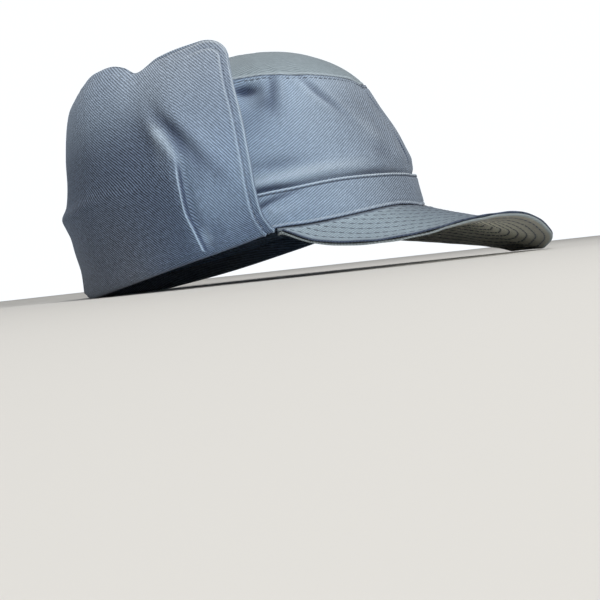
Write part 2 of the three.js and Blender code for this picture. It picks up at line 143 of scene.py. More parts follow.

# How pale the crown and band are painted, by turn, with the plain dye at 1: partly sun
# fading and partly painted shade on the front, which is turned from the light; and how much
# bluer than the plain dye, a painted tint of shade, or greyer where it is below 0
CROWN_FADE_AND_LIGHT = [
    {"turn": 0, "pale": 0.75, "blue": -0.1},
    {"turn": 20, "pale": 0.75, "blue": -0.1},
    {"turn": 45, "pale": 1.0, "blue": 0.0},
    {"turn": 70, "pale": 1.0, "blue": 0.1},
    {"turn": 180, "pale": 0.9, "blue": 0.0},
]

# Just above the head band the crown swells and then tucks in behind the band's edge
BAND_TUCK = [
    {"above": -8, "out": 0.0},
    {"above": -1, "out": -0.7},
    {"above": 1.0, "out": -0.9},
    {"above": 2.3, "out": 0.3},
    {"above": 3.7, "out": 1.4},
    {"above": 5.4, "out": 1.8},
    {"above": 9, "out": 1.3},
    {"above": 14, "out": 0.4},
    {"above": 19, "out": 0.0},
    {"above": 28, "out": 0.0},
]

# The shadow line that lies on the crown just above the band: its strength and its height
BAND_SHADOW = [
    {"turn": 0, "shade": 0.35, "height": 1.2},
    {"turn": 30, "shade": 0.6, "height": 1.6},
    {"turn": 48, "shade": 0.25, "height": 0.9},
    {"turn": 72, "shade": 1.0, "height": 2.0},
    {"turn": 180, "shade": 0.6, "height": 1.5},
]

# Head band: how far it stands off the rim's plan, how far from its edges it is stitched, and
# where its edges run
BAND_OFFSET = 1.8
BAND_STITCH_LINE = 1.7
BAND_LOWER_EDGE = 2.2
BAND_UPPER_EDGE = [
    {"turn": 0, "rise": 16.5},
    {"turn": 15, "rise": 17.5},
    {"turn": 30, "rise": 19.0},
    {"turn": 45, "rise": 20.9},
    {"turn": 60, "rise": 21.9},
    {"turn": 75, "rise": 23.3},
    {"turn": 180, "rise": 24.0},
]
BAND_CREASES = [
    {"turn": 71.5, "rise": 16.6, "half_turn": 3.5, "half_rise": 2.6, "lean": -1.2, "out": -0.9},
    {"turn": 64, "rise": 18.6, "half_turn": 4.5, "half_rise": 1.8, "lean": -1.2, "out": -0.6},
    {"turn": 66, "rise": 11.5, "half_turn": 7, "half_rise": 3, "lean": 0, "out": 0.5},
]

# Ear flap: sections of its outer face from the bottom fold to the top edge, the height of
# that edge, and the line of the flap's front edges. A program's fit to the photo's outline
# set the rear reach from 0.14 to 0.9 and the height of the edge up to a turn of 140.
FLAP_SECTIONS = [
    {"part": 0.02, "front": 106.8, "rear": 104.4, "side": 86.9},
    {"part": 0.14, "front": 106.5, "rear": 102.6, "side": 86.7},
    {"part": 0.24, "front": 106.6, "rear": 103.5, "side": 87.2},
    {"part": 0.31, "front": 106.5, "rear": 103.6, "side": 87.6},
    {"part": 0.36, "front": 106.4, "rear": 105.0, "side": 88.0},
    {"part": 0.41, "front": 106.2, "rear": 105.6, "side": 88.2},
    {"part": 0.46, "front": 105.8, "rear": 100.3, "side": 88.0},
    {"part": 0.54, "front": 105.0, "rear": 96.6, "side": 87.0},
    {"part": 0.7, "front": 102.4, "rear": 92.9, "side": 84.2},
    {"part": 0.9, "front": 98.4, "rear": 83.9, "side": 79.5},
    {"part": 1.0, "front": 96.0, "rear": 72.0, "side": 76.5},
]
FLAP_TOP = [
    {"turn": 65, "rise": 113.4},
    {"turn": 78, "rise": 111.0},
    {"turn": 90, "rise": 109.0},
    {"turn": 101, "rise": 106.1},
    {"turn": 106, "rise": 111.2},
    {"turn": 113, "rise": 114.8},
    {"turn": 124, "rise": 115.7},
    {"turn": 140, "rise": 114.4},
    {"turn": 160, "rise": 116.0},
    {"turn": 180, "rise": 116.0},
]
FLAP_FRONT_EDGE = [
    {"part": 0.0, "forward": 40.2},
    {"part": 0.06, "forward": 37.6},
    {"part": 0.12, "forward": 35.8},
    {"part": 0.27, "forward": 36.2},
    {"part": 0.4, "forward": 37.7},
    {"part": 0.54, "forward": 38.4},
    {"part": 0.68, "forward": 38.4},
    {"part": 0.82, "forward": 37.6},
    {"part": 1.0, "forward": 37.6},
]
FLAP_CORNER_RADIUS = 12.0
# Radius of the curve that the flap's strip of cloth was cut to, which fans its twill
FLAP_CUT_RADIUS = 450.0
FLAP_FOLDS = [
    {"turn": 93.6, "rise": 67, "half_turn": 2.7, "half_rise": 12, "lean": 0.24, "out": 2.8},
    {"turn": 89.7, "rise": 66, "half_turn": 2.0, "half_rise": 15, "lean": 0.26, "out": -2.6},
    {"turn": 85.4, "rise": 61, "half_turn": 3, "half_rise": 17, "lean": 0.24, "out": 1.1},
    {"turn": 118, "rise": 60, "half_turn": 12, "half_rise": 26, "lean": 0, "out": 1.2},
    {"turn": -98, "rise": 34, "half_turn": 6, "half_rise": 26, "lean": 0, "out": 2.0},
    {"turn": -90, "rise": 70, "half_turn": 8, "half_rise": 18, "lean": 0, "out": -1.6},
    {"turn": -128, "rise": 50, "half_turn": 12, "half_rise": 24, "lean": 0, "out": 1.4},
    {"turn": 80, "rise": 16, "half_turn": 6, "half_rise": 14, "lean": 0.1, "out": -0.7},
    {"turn": 150, "rise": 27, "half_turn": 7, "half_rise": 5, "lean": 0, "out": -0.9},
]

# Painted shade in the flap's dents and folds, and below 0 painted highlights on its ridges and bulges
FLAP_SHADES = [
    {"turn": 92.9, "rise": 68, "half_turn": 2.3, "half_rise": 8.5, "lean": 0.22, "shade": -0.9},
    {"turn": 90.9, "rise": 57, "half_turn": 1.0, "half_rise": 6, "lean": 0.1, "shade": -0.6},
    {"turn": 90.7, "rise": 71.5, "half_turn": 2.0, "half_rise": 9.5, "lean": 0.27, "shade": 0.95},
    {"turn": 89.3, "rise": 60, "half_turn": 1.3, "half_rise": 8, "lean": 0.15, "shade": 0.8},
    {"turn": 84.4, "rise": 50, "half_turn": 2.7, "half_rise": 16, "lean": 0.27, "shade": 0.5},
    {"turn": 86.2, "rise": 45, "half_turn": 2.0, "half_rise": 12, "lean": 0, "shade": 0.45},
    {"turn": 94.5, "rise": 60, "half_turn": 2.0, "half_rise": 10, "lean": 0.1, "shade": -0.2},
    {"turn": 81, "rise": 37, "half_turn": 2.6, "half_rise": 7, "lean": 0, "shade": 0.12},
    {"turn": 88.4, "rise": 9, "half_turn": 1.6, "half_rise": 5, "lean": 0, "shade": -0.5},
    {"turn": 86, "rise": 11, "half_turn": 2.2, "half_rise": 5, "lean": 0, "shade": 0.3},
    {"turn": 74, "rise": 5, "half_turn": 4, "half_rise": 8, "lean": 0, "shade": 0.3},
    {"turn": 72.5, "rise": 36, "half_turn": 5, "half_rise": 12, "lean": 0, "shade": -0.22},
    {"turn": 99, "rise": 72, "half_turn": 3.0, "half_rise": 12, "lean": 0.3, "shade": 0.2},
    {"turn": -95, "rise": 34, "half_turn": 3.0, "half_rise": 16, "lean": 0, "shade": 0.3},
    {"turn": -91, "rise": 70, "half_turn": 3.5, "half_rise": 12, "lean": 0, "shade": 0.35},
]

# How pale the flap is painted by height, with the plain dye at 1, in front of the pleats,
# behind the right one, and from the back round to the left one: painted shade low down and
# behind the pleats, which turn from the light, and paler towards the top, partly sun fading
# and partly painted light
FLAP_FADE_AND_LIGHT = [
    {"rise": 0, "front": 0.55, "behind": 0.45, "back": 0.7},
    {"rise": 40, "front": 1.25, "behind": 0.45, "back": 0.7},
    {"rise": 70, "front": 1.2, "behind": 0.55, "back": 0.7},
    {"rise": 95, "front": 1.3, "behind": 1.2, "back": 1.05},
    {"rise": 115, "front": 1.4, "behind": 1.6, "back": 1.2},
]

# How much bluer than the plain dye the flap is painted, as a tint of shade, by height, at its sides and
# round its back
FLAP_BLUE = [
    {"rise": 0, "side": 0.25, "rear": -0.15},
    {"rise": 60, "side": 0.1, "rear": 0.1},
    {"rise": 115, "side": -0.15, "rear": -0.05},
]

# The pleat on each side of the flap: where its lip runs, and how far it stands out
PLEAT_LINE = [
    {"rise": -6, "turn": 89.4},
    {"rise": 0, "turn": 89.7},
    {"rise": 10, "turn": 90.4},
    {"rise": 23, "turn": 91.4},
    {"rise": 36, "turn": 91.1},
    {"rise": 50, "turn": 90.5},
    {"rise": 64, "turn": 90.0},
    {"rise": 80, "turn": 89.5},
]
PLEAT_LIP = [
    {"rise": -6, "out": 1.4, "width": 0.7},
    {"rise": 8, "out": 2.6, "width": 0.5},
    {"rise": 36, "out": 3.2, "width": 0.5},
    {"rise": 46, "out": 3.0, "width": 0.8},
    {"rise": 57, "out": 1.6, "width": 2.6},
    {"rise": 68, "out": 0.0, "width": 5.0},
    {"rise": 80, "out": 0.0, "width": 5.0},
]
# How far behind its lip a pleat has sunk back to about a third
PLEAT_FADE = 16.0
# Side and share of each pleat: the right one is the fuller
PLEAT_SIDES = ((1, 1.0), (-1, 0.55))

# The roll of cloth round the rim: offset from the rim's plan and height above it
FOLD_ROLL = [
    {"offset": -1.8, "rise": 9.5},
    {"offset": -1.8, "rise": 6.0},
    {"offset": -1.8, "rise": 3.0},
    {"offset": -1.5, "rise": 1.3},
    {"offset": -0.6, "rise": 0.3},
    {"offset": 1.0, "rise": 0.0},
    {"offset": 2.8, "rise": 0.0},
    {"offset": 4.4, "rise": 0.2},
    {"offset": 5.5, "rise": 1.1},
    {"offset": 6.0, "rise": 2.2},
]

# Peak: plan of its outer edge and the height of its underside there
PEAK_PLAN = {"middle": 60.0, "forward": 108.0, "side": 85.0, "end_turn": 99.0}
PEAK_EDGE = [
    {"turn": -100, "rise": 0.0},
    {"turn": -90, "rise": -12.0},
    {"turn": -70, "rise": -25.0},
    {"turn": -50, "rise": -37.2},
    {"turn": -41, "rise": -42.6},
    {"turn": -30, "rise": -44.6},
    {"turn": -20, "rise": -42.8},
    {"turn": 0, "rise": -36.7},
    {"turn": 10, "rise": -30.5},
    {"turn": 20, "rise": -25.3},
    {"turn": 30, "rise": -22.6},
    {"turn": 45, "rise": -21.3},
    {"turn": 60, "rise": -22.1},
    {"turn": 75, "rise": -19.6},
    {"turn": 90, "rise": -11.5},
    {"turn": 100, "rise": 0.7},
]
# Where the peak is sewn on, how far inside the band its under layer ends, and how far its
# top face lies above its underside
PEAK_ROOT_TURN = 69.3
PEAK_ROOT_OFFSET = 1.8
PEAK_UNDER_ROOT_OFFSET = -1.2
PEAK_ROOT_RISE = -1.6
PEAK_TOP_FACE = 2.8
# How far the peak sags between its root and its edge. The curve used is the reach squared
# times what is left of it, which comes to 4 / 27 where it is greatest.
SAG_SCALE = 27 / 4
PEAK_SAG = [
    {"turn": -100, "sag": 0.0},
    {"turn": -45, "sag": 1.0},
    {"turn": 0, "sag": 2.5},
    {"turn": 20, "sag": 4.2},
    {"turn": 40, "sag": 4.4},
    {"turn": 60, "sag": 2.6},
    {"turn": 80, "sag": 0.8},
    {"turn": 100, "sag": 0.0},
]
PEAK_ROOT_ROLL = [
    {"offset": 0.0, "rise": 9.0},
    {"offset": 0.0, "rise": 5.0},
    {"offset": 0.0, "rise": 2.6},
    {"offset": 0.6, "rise": 2.0},
]
# The peak's rows of stitching: the most there can be, how far the first lies from the edge,
# in row spacings, and the fewest columns of the grid that a row crosses
PEAK_ROWS = 12
PEAK_FIRST_ROW = 0.9
PEAK_SHORTEST_ROW = 12

# Cells of each cloth's grid, across and up
CROWN_SIDE_GRID = (250, 84)
CROWN_TOP_GRID = (330, 70)
HEAD_BAND_GRID = (480, 32)
FLAP_GRID = (380, 83)
FLAP_ROLL_CELLS = 18
FACING_GRID = (280, 66)
PEAK_GRID = (220, 80)
PEAK_ROLL_CELLS = 8
# The row of a grid whose run lays out the cloth map of the whole piece
CROWN_SIDE_MAP_ROW = 40
FLAP_MAP_ROW = 60
FACING_MAP_ROW = 30
# Where the flap's grid is crowded: at its pleats and its front edges
FLAP_ACROSS_SPOTS = [
    (0.8255, 0.012, 16),
    (-0.8255, 0.012, 12),
    (1, 0.03, 3),
    (-1, 0.03, 3),
]


def linear(hex_colour):
    """An sRGB colour such as #6f7f92 as linear red, green and blue."""
    channels = [int(hex_colour[i : i + 2], 16) / 255 for i in (1, 3, 5)]
    return tuple(c / 12.92 if c <= 0.04045 else ((c + 0.055) / 1.055) ** 2.4 for c in channels)


class CapSizes(bpy.types.PropertyGroup):
    """Sizes of the cap's cloth and sewing."""

    cloth: bpy.props.FloatProperty(
        name="Crown cloth",
        description="Thickness of the crown and band cloth",
        default=1.5 * MM,
        min=0.5 * MM,
        max=3 * MM,
        unit="LENGTH",
    )
    flap_cloth: bpy.props.FloatProperty(
        name="Flap cloth",
        description="Thickness of the flap's outer layer",
        default=1.6 * MM,
        min=0.5 * MM,
        max=3 * MM,
        unit="LENGTH",
    )
    facing_cloth: bpy.props.FloatProperty(
        name="Flap facing",
        description="Thickness of the flap's inner layer",
        default=1.3 * MM,
        min=0.5 * MM,
        max=3 * MM,
        unit="LENGTH",
    )
    peak_cloth: bpy.props.FloatProperty(
        name="Peak layer",
        description="Thickness of each of the peak's two layers",
        default=1.1 * MM,
        min=0.5 * MM,
        max=3 * MM,
        unit="LENGTH",
    )
    hem: bpy.props.FloatProperty(
        name="Flap hem",
        description="Distance of the topstitching from the flap's edge",
        default=4.5 * MM,
        min=1 * MM,
        max=12 * MM,
        unit="LENGTH",
    )
    twill_spacing: bpy.props.FloatProperty(
        name="Twill spacing",
        description="Distance from one diagonal rib of the twill to the next",
        default=1.2 * MM,
        min=0.3 * MM,
        max=4 * MM,
        unit="LENGTH",
    )
    peak_row_spacing: bpy.props.FloatProperty(
        name="Peak row spacing",
        description="Distance between the rows of stitching on the peak",
        default=5.0 * MM,
        min=3 * MM,
        max=15 * MM,
        unit="LENGTH",
    )
    stitch: bpy.props.FloatProperty(
        name="Stitch",
        description="Length of one stitch of the seams",
        default=2.3 * MM,
        min=1 * MM,
        max=6 * MM,
        unit="LENGTH",
    )


class CapColours(bpy.types.PropertyGroup):
    """Colours of the cap's cloth and thread."""

    crown: bpy.props.FloatVectorProperty(
        name="Crown and band",
        description="Twill of the crown's sides and the head band",
        subtype="COLOR",
        default=linear("#92a6be"),
    )
    # The flap's twill is darker than the crown's, partly as painted shade of the flap, which turns from
    # the light
    flap: bpy.props.FloatVectorProperty(
        name="Flap",
        description="Twill of the ear flap",
        subtype="COLOR",
        default=linear("#8798ae"),
    )
    top: bpy.props.FloatVectorProperty(
        name="Top",
        description="Faded twill of the top panel and the peak",
        subtype="COLOR",
        default=linear("#8f9ea7"),
    )
    # The underside's colour is made pale to stand in for the light bounced up under the peak
    underside: bpy.props.FloatVectorProperty(
        name="Underside",
        description="Twill under the peak",
        subtype="COLOR",
        default=linear("#a5a394"),
    )
    thread: bpy.props.FloatVectorProperty(
        name="Thread",
        description="Sewing thread of the band's lower edge and the flap's top",
        subtype="COLOR",
        default=linear("#a3b2c2"),
    )
    flap_thread: bpy.props.FloatVectorProperty(
        name="Flap thread",
        description="Sewing thread of the flap's front hems",
        subtype="COLOR",
        default=linear("#75859a"),
    )
    # Dark thread, whose darkness also paints the shade where the stitches sink into the cloth
    peak_thread: bpy.props.FloatVectorProperty(
        name="Dark thread",
        description="Sewing thread of the peak, the top seam and the band's upper edge",
        subtype="COLOR",
        default=linear("#303c4d"),
    )


# Surfaces, in millimetres of the cap's own frame: rim level, peak towards -y


def smooth(rows, key, at, column):
    """A column of a table at given keys, as a smooth curve through its rows."""
    keys = np.array([row[key] for row in rows], float)
    values = np.array([row[column] for row in rows], float)
    last = len(rows) - 1
    at = np.clip(at, keys[0], keys[-1])
    i = np.clip(np.searchsorted(keys, at, side="right") - 1, 0, last - 1)
    before = np.maximum(i - 1, 0)
    after = np.minimum(i + 2, last)
    span = keys[i + 1] - keys[i]
    start_slope = (values[i + 1] - values[before]) / (keys[i + 1] - keys[before]) * span
    end_slope = (values[after] - values[i]) / (keys[after] - keys[i]) * span
    t = (at - keys[i]) / span
    rise = values[i + 1] - values[i]
    bend = (3 * rise - 2 * start_slope - end_slope) * t**2
    return values[i] + start_slope * t + bend + (start_slope + end_slope - 2 * rise) * t**3


def section_at(rows, part):
    """Front, rear and side reach of a table of sections at given parts of the height."""
    return {side: smooth(rows, "part", part, side) for side in ("front", "rear", "side")}


def section_point(section, angle, height, offset):
    """Points of level sections grown by an offset; angles run from the centre front."""
    across = np.sin(angle)
    along = np.cos(angle)
    reach = np.where(along > 0, section["front"], section["rear"]) + offset
    root = 2 / PLAN_POWER
    x = -(section["side"] + offset) * np.sign(across) * np.abs(across) ** root
    y = -reach * np.sign(along) * np.abs(along) ** root
    return np.stack(np.broadcast_arrays(x, y, height), axis=-1)


def turn_of(angle):
    """Turn in degrees from the centre front, whichever side the angle is on."""
    turn = np.abs(np.degrees(angle)) % 360
    return np.where(turn > 180, 360 - turn, turn)


def folds_out(rows, angle, height, column="out"):
    """How far a table of folds and dents pushes the cloth out."""
    total = np.zeros(np.broadcast(angle, height).shape)
    for row in rows:
        middle = row["turn"] + row["lean"] * (height - row["rise"])
        apart = (np.degrees(angle) - middle + 180) % 360 - 180
        across = apart / row["half_turn"]
        along = (height - row["rise"]) / row["half_rise"]
        total = total + row[column] * np.exp(-(across**2) - along**2)
    return total


def table_height(y):
    """Height of the table under the cap, in the cap's own frame."""
    return TABLE_LEVEL["rise"] + (y - TABLE_LEVEL["y"]) * math.tan(STAND_TILT)


def rim_rise(angle, y):
    """Height of the rim's lower edge, which is never below the table."""
    return np.maximum(smooth(RIM_LINE, "turn", turn_of(angle), "rise"), table_height(y))


def hump(distance, middle, half_width):
    """A smooth hump, one high at its middle, that dies away past its half width."""
    return np.exp(-(((distance - middle) / half_width) ** 2))


def ramp(value, start, end):
    """A share that goes from 0 at the start to 1 at the end, whichever of them is higher."""
    return np.clip((value - start) / (end - start), 0, 1)


def puckered(distance):
    """How much cloth puckers beside a seam: most a few mm from it, and not at the seam."""
    return hump(distance, 0, 9) * (1 - hump(distance, 0, 2))


def crowded(start, end, steps, spots):
    """Numbers from start to end, closer together near spots of (place, half width, crowding)."""
    fine = np.linspace(start, end, 4001)
    density = np.ones_like(fine)
    for place, half_width, crowding in spots:
        density += crowding * hump(fine, place, half_width)
    total = np.concatenate([[0], np.cumsum((density[1:] + density[:-1]) / 2)])
    return np.interp(np.linspace(0, total[-1], steps + 1), total, fine)


def ripples(u, v, seed, shortest, longest):
    """Faint uneven waves of the cloth, about one high, over its own millimetres."""
    chance = np.random.default_rng(seed)
    total = np.zeros(np.broadcast(u, v).shape)
    waves = 9
    for _ in range(waves):
        length = chance.uniform(shortest, longest)
        heading = chance.uniform(0, math.pi)
        start = chance.uniform(0, 2 * math.pi)
        along = u * math.cos(heading) + v * math.sin(heading)
        total += np.sin(2 * math.pi * along / length + start)
    return total / math.sqrt(waves)


def groove(distance, middle, half_width, depth):
    """Depth of a groove that runs at a distance from an edge."""
    return -depth * hump(distance, middle, half_width)


def rolled(distance, radius, drop):
    """How far cloth turns down within a radius of its edge."""
    inside = np.clip(1 - distance / radius, 0, 1)
    return -drop * (1 - np.sqrt(1 - inside**2))


def distance_to(points, line):
    """Distance from each point to a line of points."""
    flat = points.reshape(-1, 3)
    nearest = np.full(len(flat), 1e9)
    for start, end in zip(line[:-1], line[1:]):
        step = end - start
        length = max(float(step @ step), 1e-12)
        t = np.clip((flat - start) @ step / length, 0, 1)
        nearest = np.minimum(nearest, np.linalg.norm(flat - start - t[:, None] * step, axis=1))
    return nearest.reshape(points.shape[:-1])


def from_open_edges(points):
    """Distance of each point of a grid from its two sides and its top."""
    return distance_to(points, np.concatenate([points[:, 0], points[-1], points[::-1, -1]]))


def along_grid(points, axis):
    """Millimetres of cloth run along the rows or columns of a grid."""
    steps = np.linalg.norm(np.diff(points, axis=axis), axis=-1)
    start = np.zeros_like(np.take(steps, [0], axis=axis))
    return np.concatenate([start, np.cumsum(steps, axis=axis)], axis=axis)


def grid_normals(points, closed=False):
    """Unit normals of a grid whose columns run to the right and rows up, seen from outside."""
    if closed:
        around = np.concatenate([points[:, -2:-1], points, points[:, 1:2]], axis=1)
        along = (around[:, 2:] - around[:, :-2]) / 2
    else:
        along = np.gradient(points, axis=1)
    up = np.gradient(points, axis=0)
    normal = np.cross(along, up)
    return normal / np.maximum(np.linalg.norm(normal, axis=-1, keepdims=True), 1e-9)


def along_roll(section, cells, point_at, across):
    """Rows of cloth round a roll, whose section is a table of offsets and rises."""
    rows = [{"step": i, **row} for i, row in enumerate(section)]
    steps = np.linspace(0, len(section) - 1, cells + 1)
    offsets = smooth(rows, "step", steps, "offset")
    rises = smooth(rows, "step", steps, "rise")
    return np.stack([point_at(across, *place) for place in zip(offsets, rises)])


def standing(points):
    """Points of the cap's own frame, in mm, as it stands on the floor, in metres."""
    x, y, z = points[..., 0], points[..., 1], points[..., 2]
    cosine, sine = math.cos(STAND_TILT), math.sin(STAND_TILT)
    turned = np.stack([x, y * cosine + z * sine, z * cosine - y * sine], axis=-1)
    return (turned + STAND_PLACE) * MM


# Making of pieces


def lay_grid(name, points, cloth_map, marks, closed=False):
    """A grid of faces laid on an array of points, with its cloth map and marks for the dye and for
    painted light and shade.
    """
    bpy.ops.object.select_all(action="DESELECT")
    rows, columns = points.shape[:2]
    bpy.ops.mesh.primitive_grid_add(x_subdivisions=columns - 1, y_subdivisions=rows - 1, size=1)
    piece = bpy.context.object
    piece.name = name
    mesh = piece.data
    mesh.name = name
    flat = np.empty(len(mesh.vertices) * 3)
    mesh.vertices.foreach_get("co", flat)
    flat = flat.reshape(-1, 3)
    column = np.rint((flat[:, 0] + 0.5) * (columns - 1)).astype(int)
    row = np.rint((flat[:, 1] + 0.5) * (rows - 1)).astype(int)
    mesh.vertices.foreach_set("co", standing(points)[row, column].ravel())
    corners = np.empty(len(mesh.loops), dtype=int)
    mesh.loops.foreach_get("vertex_index", corners)
    laid = (cloth_map * MM)[row, column][corners]
    mesh.uv_layers.active.data.foreach_set("uv", laid.ravel())
    for mark, amount in marks.items():
        attribute = mesh.attributes.new(mark, "FLOAT", "POINT")
        spread = np.broadcast_to(amount, (rows, columns))
        attribute.data.foreach_set("value", spread[row, column].astype(float))
    if closed:
        bpy.ops.object.mode_set(mode="EDIT")
        bpy.ops.mesh.select_all(action="SELECT")
        bpy.ops.mesh.remove_doubles(threshold=0.02 * MM)
        bpy.ops.object.mode_set(mode="OBJECT")
    return piece


def apply_modifier(piece, kind, **settings):
    """Adds a modifier to a piece and applies it."""
    bpy.context.view_layer.objects.active = piece
    modifier = piece.modifiers.new(kind.title(), kind)
    for setting, value in settings.items():
        setattr(modifier, setting, value)
    bpy.ops.object.modifier_apply(modifier=modifier.name)


def thicken(piece, thickness, edge):
    """Gives laid cloth its thickness inwards, and rounds its cut edges."""
    apply_modifier(piece, "SOLIDIFY", thickness=thickness, offset=-1, use_even_offset=False)
    apply_modifier(
        piece,
        "BEVEL",
        width=edge,
        segments=3,
        limit_method="ANGLE",
        angle_limit=math.radians(62),
        use_clamp_overlap=True,
    )
    bpy.ops.object.select_all(action="DESELECT")
    piece.select_set(True)
    bpy.ops.object.shade_smooth()


def finish(piece, material, slot, *nodes):
    """Puts a finished piece on the cap: its material and the solids that it stands for; the slot is not
    used.
    """
    piece.data.materials.clear()
    piece.data.materials.append(material)
    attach(piece, "root")
    if nodes:
        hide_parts(*nodes)


def on_grid(grid, normals, column, row):
    """Points and normals between the nodes of a grid, at fractional columns and rows."""
    found = []
    for values in (grid, normals):
        c0 = np.clip(np.floor(column).astype(int), 0, values.shape[1] - 2)
        r0 = np.clip(np.floor(row).astype(int), 0, values.shape[0] - 2)
        fc = (column - c0)[:, None]
        fr = (row - r0)[:, None]
        low = values[r0, c0] * (1 - fc) + values[r0, c0 + 1] * fc
        high = values[r0 + 1, c0] * (1 - fc) + values[r0 + 1, c0 + 1] * fc
        found.append(low * (1 - fr) + high * fr)
    return found


def sew(name, rows_of_thread, length, gap, width, height):
    """One object of stitches, each a short fat thread laid along its row."""
    bpy.ops.object.select_all(action="DESELECT")
    bpy.ops.mesh.primitive_uv_sphere_add(segments=8, ring_count=6, radius=0.5)
    pattern = bpy.context.object
    stitch = np.array([list(vertex.co) for vertex in pattern.data.vertices])
    # The ball's poles lie along the thread, and its middle is squared off into a fat bar
    along = np.sign(stitch[:, 2]) * np.abs(stitch[:, 2] * 2) ** 0.7 / 2
    stitch = np.stack([along, stitch[:, 0], stitch[:, 1]], axis=-1)
    faces = [list(polygon.vertices) for polygon in pattern.data.polygons]
    bpy.data.objects.remove(pattern, do_unlink=True)
    vertices = []
    polygons = []
    for path, normals in rows_of_thread:
        steps = np.linalg.norm(np.diff(path, axis=0), axis=1)
        run = np.concatenate([[0], np.cumsum(steps)])
        if run[-1] < length:
            continue
        count = max(1, int(run[-1] // (length + gap)))
        pitch = run[-1] / count
        for middle in (np.arange(count) + 0.5) * pitch:
            places = [middle - length / 2, middle, middle + length / 2]
            at = [np.interp(places, run, path[:, i]) for i in range(3)]
            start, centre, end = np.array(at).T
            forward = end - start
            forward /= max(np.linalg.norm(forward), 1e-9)
            up = np.array([np.interp(middle, run, normals[:, i]) for i in range(3)])
            up -= forward * (up @ forward)
            up /= max(np.linalg.norm(up), 1e-9)
            side = np.cross(up, forward)
            turned = np.outer(stitch[:, 0] * length, forward)
            turned += np.outer(stitch[:, 1] * width, side) + np.outer(stitch[:, 2] * height, up)
            first = len(vertices) * len(stitch)
            vertices.append(centre + turned)
            polygons.extend([[first + v for v in face] for face in faces])
    mesh = bpy.data.meshes.new(name)
    mesh.from_pydata(standing(np.concatenate(vertices)).tolist(), [], polygons)
    mesh.uv_layers.new(name="UVMap")
    piece = bpy.data.objects.new(name, mesh)
    bpy.context.collection.objects.link(piece)
    bpy.context.view_layer.objects.active = piece
    piece.select_set(True)
    bpy.ops.object.mode_set(mode="EDIT")
    bpy.ops.mesh.select_all(action="SELECT")
    bpy.ops.mesh.normals_make_consistent(inside=False)
    bpy.ops.object.mode_set(mode="OBJECT")
    bpy.ops.object.shade_smooth()
    return piece


# Materials

# What worn cloth and painted highlights pale towards, and what the deepest dye and painted shade darken
# to
PALE_WASH = linear("#d1e1ef")
DEEP_NAVY = linear("#293552")
# Blotches of the wash, about 38 mm across, and the thread's fibres, drawn about 1 mm apart
# because real ones are too fine to show
BLOTCHES_A_METRE = 26.0
FIBRES_A_METRE = 900.0


def add_node(tree, kind, settings=None, values=None, links=None):
    """Adds a node with its settings, input values and links to its inputs."""
    node = tree.nodes.new(kind)
    for setting, value in (settings or {}).items():
        setattr(node, setting, value)
    for socket, value in (values or {}).items():
        node.inputs[socket].default_value = value
    for socket, source in (links or {}).items():
        tree.links.new(source, node.inputs[socket])
    return node


def washed(colour, share):
    """A colour lightened towards the pale wash, or darkened to navy when the share is below 0."""
    towards = PALE_WASH if share > 0 else DEEP_NAVY
    return tuple(c + (t - c) * abs(share) for c, t in zip(colour, towards)) + (1.0,)


